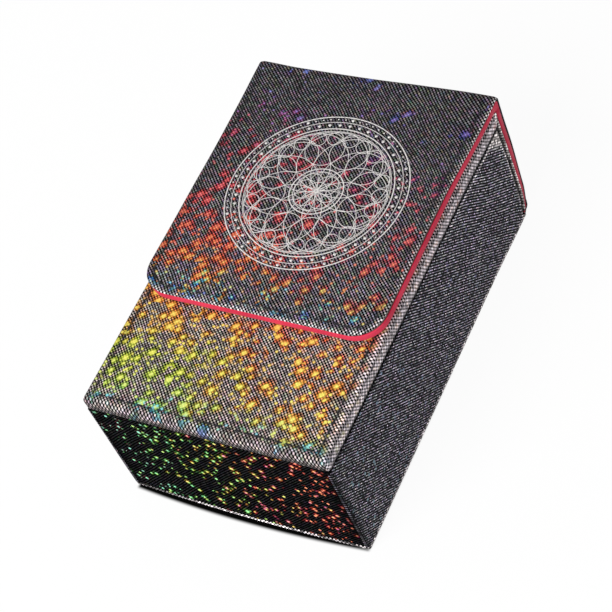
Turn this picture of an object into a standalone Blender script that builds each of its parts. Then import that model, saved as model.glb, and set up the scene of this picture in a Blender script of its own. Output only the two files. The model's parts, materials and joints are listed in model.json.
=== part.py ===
"""Card storage box: leather over grey board, red lining, a lid that folds at two leather hinges, magnets.

Metres, +Z up. The box lies on its back: +Z is the front wall, +Y the mouth end with the lid,
+X the right side. The origin is under the middle of the box, on the plane that the back rests on.
"""

import math

import bmesh
import bpy
from mathutils import Vector

# Cards that the box is made for, and the room round them
card_width = 0.0700
card_height = 0.1200
deck_depth = 0.0420
side_clearance = 0.0023
end_clearance = 0.0039
depth_clearance = 0.0011

# Layers of a wall, from the outside in
skin_thickness = 0.0008
glue_line = 0.0001
wall_board_thickness = 0.0018
lining_thickness = 0.0006
lid_board_thickness = 0.0012

# Edges and seams of the covering
fold_radius = 0.0006
fold_segments = 3
front_wrap_width = 0.0048
bottom_wrap_width = 0.0043
back_wrap_width = 0.0016
seam_gap = 0.0002
binding_drop = 0.0015
binding_thickness = 0.0008

# Lid and flap
rim_gap = 0.0003
flap_rest_gap = 0.0003
lid_inset = 0.0006
flap_length = 0.0914
flap_corner_radius = 0.0095
flap_corner_steps = 10
rear_fold_length = 0.0030
rear_gutter_length = 0.0040
front_fold_length = 0.0040
outer_fold_radius = 0.0013
inner_fold_radius = 0.0003
lining_fold_radius = 0.0007
fold_arc_steps = 5

# Magnets
magnet_radius = 0.0040
magnet_thickness = 0.0016
magnet_segments = 24
magnet_clearance = 0.0001
magnet_side_distance = 0.0161
magnet_edge_distance = 0.0140

# Stitching, sunk in a groove of the skin
thread_width = 0.0005
thread_height = 0.0003
thread_clearance = 0.0001
flap_stitch_inset = 0.0027
front_stitch_inset = 0.0031
side_stitch_inset = 0.0006
stitch_end_margin = 0.0015

# Cutters reach this far past what they cut
overrun = 0.0020

# Faces that meet at a flatter angle than this are shaded as one
smooth_angle = math.radians(30)

# Sizes that follow from the values above
skin_inset = skin_thickness + glue_line
lining_inset = skin_inset + wall_board_thickness + glue_line
wall = lining_inset + lining_thickness
lid_lining_inset = skin_inset + lid_board_thickness + glue_line
lid_stack = lid_lining_inset + lining_thickness

body_width = card_width + 2 * side_clearance + 2 * wall
body_height = card_height + end_clearance + wall
body_depth = deck_depth + depth_clearance + 2 * wall
overall_height = body_height + rim_gap + lid_stack
overall_depth = body_depth + flap_rest_gap + wall

half_width = body_width / 2
lid_half_width = half_width - lid_inset
bottom_y = -overall_height / 2
top_y = overall_height / 2
rim_y = bottom_y + body_height
cover_top_y = rim_y - binding_drop - seam_gap
board_top_y = rim_y - binding_thickness - glue_line
back_end_y = top_y - rear_gutter_length
flap_bottom_y = top_y - flap_length
flap_top_y = top_y - front_fold_length
lid_front_z = overall_depth - front_fold_length
magnet_x = lid_half_width - magnet_side_distance
magnet_y = flap_bottom_y + magnet_edge_distance

hinge_axis = Vector((0, top_y - skin_thickness / 2, skin_thickness / 2))
fold_axis = Vector((0, top_y - skin_thickness / 2, overall_depth - skin_thickness / 2))

SIDES = (("left", -1), ("right", 1))
FRONT = Vector((0, 0, 1))
BACK = Vector((0, 0, -1))
BOTTOM = Vector((0, -1, 0))
RIGHT = Vector((1, 0, 0))
LEFT = Vector((-1, 0, 0))


def clear_scene():
    """Empties the startup scene."""
    for old in list(bpy.data.objects):
        bpy.data.objects.remove(old)


def new_collection(name):
    """A collection linked to the scene."""
    made = bpy.data.collections.new(name)
    bpy.context.scene.collection.children.link(made)
    return made


def new_material(name, colour, roughness, metallic):
    """A Principled BSDF material."""
    made = bpy.data.materials.new(name)
    made.use_nodes = True
    made.diffuse_color = (*colour, 1)
    shader = made.node_tree.nodes["Principled BSDF"]
    shader.inputs["Base Color"].default_value = (*colour, 1)
    shader.inputs["Roughness"].default_value = roughness
    shader.inputs["Metallic"].default_value = metallic
    return made


def new_axis(name, place, parent, collection):
    """An empty on a joint's axis, which carries what turns about it."""
    axis = bpy.data.objects.new(name, None)
    collection.objects.link(axis)
    axis.parent = parent
    axis.location = place - world_place(parent)
    return axis


def world_place(axis):
    """Where an unturned empty stands, counted through its parents."""
    place = Vector((0, 0, 0))
    while axis is not None:
        place = place + axis.location
        axis = axis.parent
    return place


class Shop:
    """Makes the pieces of one body of the box, all with the same parent."""

    def __init__(self, parts, cutters, parent):
        self.parts = parts
        self.cutters = cutters
        self.parent = parent

    def finish(self, name, mesh, centre, material):
        """Links a mesh as a part, or as a cutter when it has no material."""
        piece = bpy.data.objects.new(name, mesh)
        piece.parent = self.parent
        piece.location = centre - world_place(self.parent)
        if material is None:
            self.cutters.objects.link(piece)
            piece.hide_render = True
            piece.display_type = "WIRE"
        else:
            self.parts.objects.link(piece)
            mesh.materials.append(material)
            mesh.shade_smooth()
            mesh.set_sharp_from_angle(angle=smooth_angle)
        return piece

    def block(self, name, low, high, material=None, rounded=()):
        """A box between two corners. Each pair of directions in rounded names an edge to round."""
        low, high = Vector(low), Vector(high)
        size = high - low
        work = bmesh.new()
        bmesh.ops.create_cube(work, size=1)
        chosen = [edge for edge in work.edges if edge_is_named(edge, rounded)]
        bmesh.ops.scale(work, vec=[abs(length) for length in size], verts=work.verts)
        if chosen:
            bmesh.ops.bevel(
                work,
                geom=chosen,
                offset=fold_radius,
                segments=fold_segments,
                profile=0.5,
                affect="EDGES",
                material=-1,
            )
        return self.finish(name, mesh_of(work, name), (low + high) / 2, material)

    def plate(self, name, outline, low_z, high_z, material=None):
        """A flat piece of the given XY outline between two heights."""
        mesh = outline_mesh(name, outline, high_z - low_z)
        return self.finish(name, mesh, Vector((0, 0, (low_z + high_z) / 2)), material)

    def strip(self, name, outline, low_x, high_x, material=None):
        """A piece of the given YZ outline that runs along X."""
        mesh = outline_mesh(name, outline, high_x - low_x)
        piece = self.finish(name, mesh, Vector(((low_x + high_x) / 2, 0, 0)), material)
        piece.rotation_euler = (math.pi / 2, 0, math.pi / 2)
        return piece

    def disc(self, name, centre, radius, thickness, material=None):
        """A round disc that faces the front."""
        work = bmesh.new()
        bmesh.ops.create_cone(
            work,
            cap_ends=True,
            segments=magnet_segments,
            radius1=radius,
            radius2=radius,
            depth=thickness,
        )
        return self.finish(name, mesh_of(work, name), Vector(centre), material)


def edge_is_named(edge, pairs):
    """Whether an edge of the unit cube lies on both faces of one of the pairs."""
    middle = (edge.verts[0].co + edge.verts[1].co) / 2
    return any(middle.dot(first) > 0 and middle.dot(second) > 0 for first, second in pairs)


def mesh_of(work, name):
    """Turns a bmesh into a mesh and frees it."""
    mesh = bpy.data.meshes.new(name)
    work.to_mesh(mesh)
    work.free()
    return mesh


def outline_mesh(name, outline, thickness):
    """A closed solid from a flat outline in XY, its thickness shared above and below."""
    curve = bpy.data.curves.new(name, "CURVE")
    curve.dimensions = "2D"
    curve.fill_mode = "BOTH"
    curve.extrude = thickness / 2
    line = curve.splines.new("POLY")
    line.points.add(len(outline) - 1)
    for point, (x, y) in zip(line.points, outline):
        point.co = (x, y, 0, 1)
    line.use_cyclic_u = True
    guide = bpy.data.objects.new(name, curve)
    bpy.context.scene.collection.objects.link(guide)
    graph = bpy.context.evaluated_depsgraph_get()
    mesh = bpy.data.meshes.new_from_object(guide.evaluated_get(graph))
    bpy.data.objects.remove(guide)
    work = bmesh.new()
    work.from_mesh(mesh)
    bmesh.ops.remove_doubles(work, verts=work.verts, dist=glue_line / 20)
    bmesh.ops.recalc_face_normals(work, faces=work.faces)
    work.to_mesh(mesh)
    work.free()
    mesh.materials.clear()
    return mesh


def arc(centre, radius, start, end, steps):
    """Points on a round stretch, angles in degrees."""
    angles = [math.radians(start + (end - start) * step / steps) for step in range(steps + 1)]
    return [(centre[0] + radius * math.cos(a), centre[1] + radius * math.sin(a)) for a in angles]


def flap_path(inset, upper_y):
    """The flap's left, lower and right edges, moved in by an inset."""
    half = lid_half_width - inset
    low = flap_bottom_y + inset
    radius = flap_corner_radius - inset
    left = arc((radius - half, low + radius), radius, 180, 270, flap_corner_steps)
    right = arc((half - radius, low + radius), radius, 270, 360, flap_corner_steps)
    return [(-half, upper_y), *left, *right, (half, upper_y)]


def ribbon(path, width):
    """The outline of an even band along a path, mitred at its corners."""
    points = [Vector(point) for point in path]
    one_side, other_side = [], []
    for index, point in enumerate(points):
        before = points[max(index - 1, 0)]
        after = points[min(index + 1, len(points) - 1)]
        coming = (point - before).normalized() if point != before else (after - point).normalized()
        going = (after - point).normalized() if after != point else coming
        normal = Vector((-coming.y - going.y, coming.x + going.x)).normalized()
        reach = width / 2 / normal.dot(Vector((-coming.y, coming.x)))
        one_side.append(tuple(point + normal * reach))
        other_side.append(tuple(point - normal * reach))
    return one_side + other_side[::-1]


def folded_outline(inner_y, outer_y, low_z, outer_z, y_thickness, z_thickness, radii):
    """An L-shaped YZ outline: a leg along Y under outer_z and a leg along Z inside outer_y."""
    outer_radius, inner_radius = radii
    inner_corner = (outer_y - y_thickness, outer_z - z_thickness)
    bend = arc((outer_y - outer_radius, outer_z - outer_radius), outer_radius, 90, 0, fold_arc_steps)
    crook = arc(
        (inner_corner[0] - inner_radius, inner_corner[1] - inner_radius), inner_radius, 0, 90, fold_arc_steps
    )
    return [
        (inner_y, outer_z),
        *bend,
        (outer_y, low_z),
        (inner_corner[0], low_z),
        *crook,
        (inner_y, inner_corner[1]),
    ]


def turned_over(outline, height):
    """Mirrors a YZ outline between z = 0 and the given height."""
    return [(y, height - z) for y, z in outline]


def cut(piece, cutter):
    """Takes a cutter out of a piece."""
    boolean = piece.modifiers.new(cutter.name, "BOOLEAN")
    boolean.operation = "DIFFERENCE"
    boolean.solver = "EXACT"
    boolean.object = cutter


def make_boards(shop, board):
    """The five grey boards of the body, butted at the corners."""
    x = half_width - skin_inset
    inner_x = x - wall_board_thickness
    low_y = bottom_y + skin_inset
    back_z = skin_inset + wall_board_thickness
    front_z = body_depth - skin_inset - wall_board_thickness
    front = shop.block("front_board", (-x, low_y, front_z), (x, board_top_y, body_depth - skin_inset), board)
    shop.block("back_board", (-x, low_y, skin_inset), (x, back_end_y, back_z), board)
    for name, side in SIDES:
        shop.block(
            name + "_board",
            (side * inner_x, low_y, back_z + glue_line),
            (side * x, board_top_y, front_z - glue_line),
            board,
        )
    shop.block(
        "bottom_board",
        (glue_line - inner_x, low_y, back_z + glue_line),
        (inner_x - glue_line, low_y + wall_board_thickness, front_z - glue_line),
        board,
    )
    return front


def make_wall_linings(shop, lining):
    """The five red linings of the card cavity."""
    x = half_width - lining_inset
    inner_x = half_width - wall
    floor_y = bottom_y + wall
    low_y = floor_y + glue_line
    top = board_top_y
    front_z = body_depth - lining_inset
    shop.block(
        "bottom_lining", (-x, bottom_y + lining_inset, lining_inset), (x, floor_y, front_z), lining
    )
    shop.block("front_lining", (-x, low_y, body_depth - wall), (x, top, front_z), lining)
    shop.block("back_lining", (-x, low_y, lining_inset), (x, back_end_y, wall), lining)
    for name, side in SIDES:
        shop.block(
            name + "_lining",
            (side * inner_x, low_y, wall + glue_line),
            (side * x, top, body_depth - wall - glue_line),
            lining,
        )


def make_front_skin(shop, leather):
    """The front leather, wrapped round both side edges and the bottom edge."""
    sides = ((FRONT, LEFT), (FRONT, RIGHT), (FRONT, BOTTOM), (BOTTOM, LEFT), (BOTTOM, RIGHT))
    low_z = body_depth - front_wrap_width
    skin = shop.block(
        "front_skin", (-half_width, bottom_y, low_z), (half_width, cover_top_y, body_depth), leather, sides
    )
    inner_x = half_width - skin_thickness
    inside = shop.block(
        "front_skin_inside",
        (-inner_x, bottom_y + skin_thickness, low_z - overrun),
        (inner_x, cover_top_y + overrun, body_depth - skin_thickness),
    )
    trimmed = shop.block(
        "front_skin_bottom_trim",
        (-inner_x, bottom_y - overrun, low_z - overrun),
        (inner_x, bottom_y + skin_thickness + overrun, body_depth - bottom_wrap_width),
    )
    cut(skin, inside)
    cut(skin, trimmed)
    return skin


def make_back_skin(shop, leather):
    """The back leather, with a narrow fold onto the sides and the bottom."""
    sides = ((BACK, LEFT), (BACK, RIGHT), (BACK, BOTTOM), (BOTTOM, LEFT), (BOTTOM, RIGHT))
    skin = shop.block(
        "back_skin", (-half_width, bottom_y, 0), (half_width, back_end_y, back_wrap_width), leather, sides
    )
    inner_x = half_width - skin_thickness
    inside = shop.block(
        "back_skin_inside",
        (-inner_x, bottom_y + skin_thickness, skin_thickness),
        (inner_x, back_end_y + overrun, back_wrap_width + overrun),
    )
    cut(skin, inside)


def make_side_and_bottom_skins(shop, leather):
    """The leather panels set between the folds of the front and the back."""
    low_z = back_wrap_width + seam_gap
    high_z = body_depth - front_wrap_width - seam_gap
    inner_x = half_width - skin_thickness
    skins = {}
    for name, side in SIDES:
        edge = LEFT if side < 0 else RIGHT
        skins[name] = shop.block(
            name + "_skin",
            (side * inner_x, bottom_y, low_z),
            (side * half_width, cover_top_y, high_z),
            leather,
            ((BOTTOM, edge),),
        )
    shop.block(
        "bottom_skin",
        (seam_gap - inner_x, bottom_y, low_z),
        (inner_x - seam_gap, bottom_y + skin_thickness, body_depth - bottom_wrap_width - seam_gap),
        leather,
    )
    return skins


def make_bindings(shop, leather):
    """The leather strips over the mouth's front and side edges."""
    low_y = rim_y - binding_drop
    inner_x = half_width - skin_thickness
    under_y = rim_y - binding_thickness
    front_low_z = body_depth - wall
    front = shop.block(
        "front_binding", (-half_width, low_y, front_low_z), (half_width, rim_y, body_depth), leather
    )
    front_hollow = shop.block(
        "front_binding_inside",
        (-inner_x, low_y - overrun, front_low_z - overrun),
        (inner_x, under_y, body_depth - skin_thickness),
    )
    cut(front, front_hollow)
    low_z = lining_inset
    high_z = front_low_z - seam_gap
    for name, side in SIDES:
        strip = shop.block(
            name + "_binding",
            (side * (half_width - wall), low_y, low_z),
            (side * half_width, rim_y, high_z),
            leather,
        )
        hollow = shop.block(
            name + "_binding_inside",
            (side * (half_width - wall - overrun), low_y - overrun, low_z - overrun),
            (side * inner_x, under_y, high_z + overrun),
        )
        cut(strip, hollow)


def make_magnets(shop, prefix, board_piece, middle_z, steel):
    """Two disc magnets in through pockets of a board."""
    for name, side in SIDES:
        centre = (side * magnet_x, magnet_y, middle_z)
        shop.disc(prefix + "_magnet_" + name, centre, magnet_radius, magnet_thickness, steel)
        pocket = shop.disc(
            prefix + "_pocket_" + name,
            centre,
            magnet_radius + magnet_clearance,
            wall_board_thickness + 2 * overrun,
        )
        cut(board_piece, pocket)


def sew_front(shop, name, path, skin, face_z, thread):
    """A thread along an XY path, sunk in a groove of a skin that faces the front."""
    band = ribbon(path, thread_width)
    shop.plate(name, band, face_z - thread_height, face_z, thread)
    groove = ribbon(widened_ends(path), thread_width + 2 * thread_clearance)
    floor_z = face_z - thread_height - thread_clearance
    cut(skin, shop.plate(name + "_groove", groove, floor_z, face_z + overrun))


def sew_side(shop, name, side, skin, thread):
    """A thread along the front and top edges of a side panel, sunk in a groove."""
    edge_z = body_depth - front_wrap_width - seam_gap - side_stitch_inset
    edge_y = cover_top_y - side_stitch_inset
    start = (bottom_y + stitch_end_margin, edge_z)
    end = (edge_y, back_wrap_width + seam_gap + stitch_end_margin)
    path = [start, (edge_y, edge_z), end]
    faces = sorted((side * (half_width - thread_height), side * half_width))
    shop.strip(name, ribbon(path, thread_width), faces[0], faces[1], thread)
    depth = thread_height + thread_clearance
    walls = sorted((side * (half_width - depth), side * (half_width + overrun)))
    groove = ribbon(widened_ends(path), thread_width + 2 * thread_clearance)
    cut(skin, shop.strip(name + "_groove", groove, walls[0], walls[1]))


def widened_ends(path):
    """The same path with both ends drawn out by the thread's clearance."""
    points = [Vector(point) for point in path]
    first = points[0] + (points[0] - points[1]).normalized() * thread_clearance
    last = points[-1] + (points[-1] - points[-2]).normalized() * thread_clearance
    return [tuple(point) for point in (first, *points[1:-1], last)]


def front_stitch_path():
    """The seam on the front wall: down one side, along the bottom and up the other."""
    x = half_width - front_stitch_inset
    low = bottom_y + front_stitch_inset
    high = cover_top_y - stitch_end_margin
    return [(-x, high), (-x, low), (x, low), (x, high)]


def make_body(shop, finishes):
    """The open box that the cards stand in."""
    leather, lining, board, steel, thread = finishes
    front_board = make_boards(shop, board)
    make_wall_linings(shop, lining)
    front_skin = make_front_skin(shop, leather)
    make_back_skin(shop, leather)
    side_skins = make_side_and_bottom_skins(shop, leather)
    make_bindings(shop, leather)
    board_middle_z = body_depth - skin_inset - wall_board_thickness / 2
    make_magnets(shop, "front", front_board, board_middle_z, steel)
    path = front_stitch_path()
    sew_front(shop, "front_stitching", path, front_skin, body_depth, thread)
    for name, side in SIDES:
        sew_side(shop, name + "_stitching", side, side_skins[name], thread)


def make_lid_top(shop, finishes):
    """The stiff panel over the mouth, and the leather hinge behind it."""
    leather, lining, board = finishes[:3]
    low_z = rear_fold_length
    inner_y = top_y - lid_stack
    shop.block(
        "lid_top_skin",
        (-lid_half_width, top_y - skin_thickness, low_z),
        (lid_half_width, top_y, lid_front_z),
        leather,
    )
    tray = shop.block(
        "lid_top_lining",
        (-lid_half_width, inner_y, low_z),
        (lid_half_width, top_y - skin_inset, lid_front_z),
        lining,
    )
    channel_x = lid_half_width - lining_thickness
    channel = shop.block(
        "lid_top_lining_inside",
        (-channel_x, inner_y + lining_thickness, low_z - overrun),
        (channel_x, top_y, lid_front_z + overrun),
    )
    cut(tray, channel)
    board_x = channel_x - glue_line
    shop.block(
        "lid_top_board",
        (-board_x, inner_y + lining_thickness + glue_line, low_z),
        (board_x, top_y - skin_inset, lid_front_z),
        board,
    )
    make_rear_hinge(shop, leather, lining)


def make_rear_hinge(shop, leather, lining):
    """The bent leather behind the mouth and the red lining of its gutter."""
    seam_y = back_end_y + seam_gap
    hinge = folded_outline(
        seam_y,
        top_y,
        overall_depth - rear_fold_length + seam_gap,
        overall_depth,
        skin_thickness,
        skin_thickness,
        (outer_fold_radius, inner_fold_radius),
    )
    x = lid_half_width
    shop.strip("rear_hinge_leather", turned_over(hinge, overall_depth), -x, x, leather)
    gutter = folded_outline(
        seam_y,
        top_y - skin_inset,
        overall_depth - rear_fold_length + seam_gap,
        overall_depth - skin_inset,
        lining_thickness,
        lining_thickness,
        (lining_fold_radius, inner_fold_radius),
    )
    shop.strip("rear_hinge_lining", turned_over(gutter, overall_depth), -x, x, lining)


def make_flap(shop, finishes):
    """The front flap, its magnets, and the leather fold above it."""
    leather, lining, board, steel, thread = finishes
    under_skin_z = overall_depth - skin_inset
    inner_z = overall_depth - wall
    edge = flap_path(0, flap_top_y)
    skin = shop.plate("flap_skin", edge, overall_depth - skin_thickness, overall_depth, leather)
    tray = shop.plate("flap_lining", edge, inner_z, under_skin_z, lining)
    pocket = flap_path(lining_thickness, flap_top_y + overrun)
    cut(tray, shop.plate("flap_lining_inside", pocket, inner_z + lining_thickness, overall_depth))
    board_edge = flap_path(lining_thickness + glue_line, flap_top_y)
    board_low_z = inner_z + lining_thickness + glue_line
    flap_board = shop.plate("flap_board", board_edge, board_low_z, under_skin_z, board)
    make_magnets(shop, "flap", flap_board, (board_low_z + under_skin_z) / 2, steel)
    seam = flap_path(flap_stitch_inset, flap_top_y - stitch_end_margin)
    sew_front(shop, "flap_stitching", seam, skin, overall_depth, thread)
    make_front_fold(shop, leather, lining)


def make_front_fold(shop, leather, lining):
    """The bent leather over the mouth's front edge and the red lining that fills it."""
    x = lid_half_width
    low_y = flap_top_y + seam_gap
    low_z = lid_front_z + seam_gap
    bent = folded_outline(
        low_y,
        top_y,
        low_z,
        overall_depth,
        skin_thickness,
        skin_thickness,
        (outer_fold_radius, inner_fold_radius),
    )
    shop.strip("front_fold_leather", bent, -x, x, leather)
    filling = folded_outline(
        low_y,
        top_y - skin_inset,
        low_z,
        overall_depth - skin_inset,
        lid_stack - skin_inset,
        wall - skin_inset,
        (lining_fold_radius, inner_fold_radius),
    )
    shop.strip("front_fold_lining", filling, -x, x, lining)


def even_shading(parts):
    """Keeps the broad faces of every cut piece flat to the eye."""
    for piece in parts.objects:
        if piece.modifiers:
            weighted = piece.modifiers.new("even_shading", "WEIGHTED_NORMAL")
            weighted.keep_sharp = True


def make_box():
    """Builds every piece of the box."""
    clear_scene()
    parts = new_collection("card_storage_box")
    cutters = new_collection("cutters")
    finishes = (
        new_material("black_holographic_leather", (0.030, 0.030, 0.036), 0.42, 0),
        new_material("red_microfibre", (0.520, 0.022, 0.060), 0.85, 0),
        new_material("grey_board", (0.300, 0.285, 0.260), 0.90, 0),
        new_material("nickelled_magnet", (0.620, 0.610, 0.590), 0.30, 1),
        new_material("black_thread", (0.008, 0.008, 0.009), 0.60, 0),
    )
    hinge = new_axis("lid_hinge_axis", hinge_axis, None, parts)
    fold = new_axis("flap_fold_axis", fold_axis, hinge, parts)
    make_body(Shop(parts, cutters, None), finishes)
    make_lid_top(Shop(parts, cutters, hinge), finishes)
    make_flap(Shop(parts, cutters, fold), finishes)
    even_shading(parts)


make_box()
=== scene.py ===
"""Card storage box lying on its back: black holographic leather, red microfibre lining, a folding lid.

Every length is in metres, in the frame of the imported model: +Z out of the front wall, +Y towards
the mouth and its lid, +X the right side. Places on the unfolded leather are in millimetres.
"""

import json
import logging
import math
from collections.abc import Callable, Iterable, Sequence
from dataclasses import dataclass, field
from enum import Enum

import bmesh
import bpy
from mathutils import Matrix, Vector, noise

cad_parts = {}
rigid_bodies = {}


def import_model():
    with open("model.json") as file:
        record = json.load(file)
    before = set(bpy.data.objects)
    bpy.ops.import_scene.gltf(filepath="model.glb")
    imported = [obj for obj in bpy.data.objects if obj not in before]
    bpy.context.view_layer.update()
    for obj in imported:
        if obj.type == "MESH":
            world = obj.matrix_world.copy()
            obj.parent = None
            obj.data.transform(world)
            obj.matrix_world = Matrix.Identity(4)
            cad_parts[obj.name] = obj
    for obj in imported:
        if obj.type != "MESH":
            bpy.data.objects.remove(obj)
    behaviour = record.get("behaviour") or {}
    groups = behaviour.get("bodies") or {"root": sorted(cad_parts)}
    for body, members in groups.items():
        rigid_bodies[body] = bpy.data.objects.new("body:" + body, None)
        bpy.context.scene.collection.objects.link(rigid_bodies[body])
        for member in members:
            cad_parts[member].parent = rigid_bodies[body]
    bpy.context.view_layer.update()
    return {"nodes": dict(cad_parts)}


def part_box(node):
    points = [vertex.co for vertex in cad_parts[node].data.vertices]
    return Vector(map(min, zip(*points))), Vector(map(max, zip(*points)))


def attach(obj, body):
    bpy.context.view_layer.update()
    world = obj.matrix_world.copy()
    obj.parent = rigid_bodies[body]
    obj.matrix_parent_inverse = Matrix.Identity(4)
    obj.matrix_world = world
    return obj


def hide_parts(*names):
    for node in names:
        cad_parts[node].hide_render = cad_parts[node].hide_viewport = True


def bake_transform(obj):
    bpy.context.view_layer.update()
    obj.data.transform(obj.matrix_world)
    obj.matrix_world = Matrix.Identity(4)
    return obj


LOG = logging.getLogger("card_storage_box")
MM = 0.001
CLOTH_UV = "cloth"
# Name of the stored amount of painted highlight, where folds and edges catch the light.
PAINTED_HIGHLIGHT = "painted_highlight"
# Name of the stored amount of painted shade, where the leather turns from the light or sinks into a seam.
PAINTED_SHADE = "painted_shade"
SIDES = (("left", -1), ("right", 1))
WHITE = (1.0, 1.0, 1.0, 1.0)
# A face counts as looking in a direction where the cosine between the two is above this.
SAME_WAY = 0.99
# Edges that turn further than this are shaded sharp.
SHARP_DEG = 42
RIGHT, LEFT = Vector((1, 0, 0)), Vector((-1, 0, 0))
TOP, BOTTOM = Vector((0, 1, 0)), Vector((0, -1, 0))
FRONT, BACK = Vector((0, 0, 1)), Vector((0, 0, -1))

Point = tuple[float, float, float]
Stop = tuple[float, str, float]
Span = tuple[float, float]
Tree = bpy.types.NodeTree
Node = bpy.types.Node
Socket = bpy.types.NodeSocket
Mesh = bmesh.types.BMesh


class Body(Enum):
    """The rigid bodies that the pieces ride on."""

    BOX = "box"
    LID_TOP = "lid_top"
    FLAP = "flap"


class Slot(Enum):
    """The record's material slots."""

    LEATHER = "leather"
    LINING = "lining"
    BOARD = "board"
    MAGNET = "magnet"
    THREAD = "thread"


class Run(Enum):
    """The direction in which a panel's foil changes its hues."""

    ALONG_WIDTH = 0
    ALONG_HEIGHT = 1


# Colour and nodes


def linear(code: str) -> tuple[float, float, float, float]:
    """Turns an sRGB hex colour into linear light.

    Args:
        code: six hex digits, such as "c8c4c0".

    Returns:
        Red, green, blue and an alpha of 1.
    """
    parts = [int(code[at : at + 2], 16) / 255 for at in (0, 2, 4)]
    light = [part / 12.92 if part <= 0.04045 else ((part + 0.055) / 1.055) ** 2.4 for part in parts]
    return (light[0], light[1], light[2], 1.0)


def add(
    tree: Tree, kind: str, *values: object, named: dict[str, object] | None = None, **settings: object
) -> Node:
    """Adds a node with its settings and links.

    Args:
        tree: the node tree that gets the node.
        kind: the node's type name without its ShaderNode prefix.
        values: what goes into the sockets that are in use, in their order; None leaves one alone.
        named: the same by socket name.
        settings: the node's own properties.

    Returns:
        The new node, which stands for its first output wherever it is a value.
    """
    node = tree.nodes.new(f"ShaderNode{kind}")
    for name, value in settings.items():
        setattr(node, name, value)
    used = [socket for socket in node.inputs if socket.enabled]
    pairs = [*zip(used, values), *((node.inputs[name], value) for name, value in (named or {}).items())]
    for socket, value in pairs:
        if isinstance(value, Node):
            value = next(output for output in value.outputs if output.enabled)
        if isinstance(value, Socket):
            tree.links.new(value, socket)
        elif value is not None:
            socket.default_value = value
    return node


def new_tree(name: str) -> tuple[bpy.types.Material, Tree]:
    """Makes an empty node material.

    Args:
        name: the material's name.

    Returns:
        The material and its cleared node tree.
    """
    material = bpy.data.materials.new(name)
    material.use_nodes = True
    material.node_tree.nodes.clear()
    return material, material.node_tree


def hue_band(tree: Tree, place: Node, stops: Sequence[Stop]) -> Node:
    """Colours that change along a panel, with an amount beside each.

    Args:
        tree: the node tree.
        place: the place along the panel, in millimetres.
        stops: place in millimetres, hex colour and amount, in rising order.

    Returns:
        A colour ramp whose alpha is the amount.
    """
    low, high = stops[0][0], stops[-1][0]
    share = add(tree, "MapRange", place, low, high)
    ramp = add(tree, "ValToRGB", share)
    elements = ramp.color_ramp.elements
    while len(elements) > 1:
        elements.remove(elements[-1])
    for index, (at, code, amount) in enumerate(stops):
        position = (at - low) / (high - low)
        element = elements[0] if index == 0 else elements.new(position)
        element.position = position
        element.color = (*linear(code)[:3], amount)
    return ramp


# Finishes


@dataclass(frozen=True)
class PaintedGlint:
    """The sockets that tell where and how the foil's painted glints show."""

    strength: Node
    halo: Node
    fringe: Node
    core: Socket
    level: Socket


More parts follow.
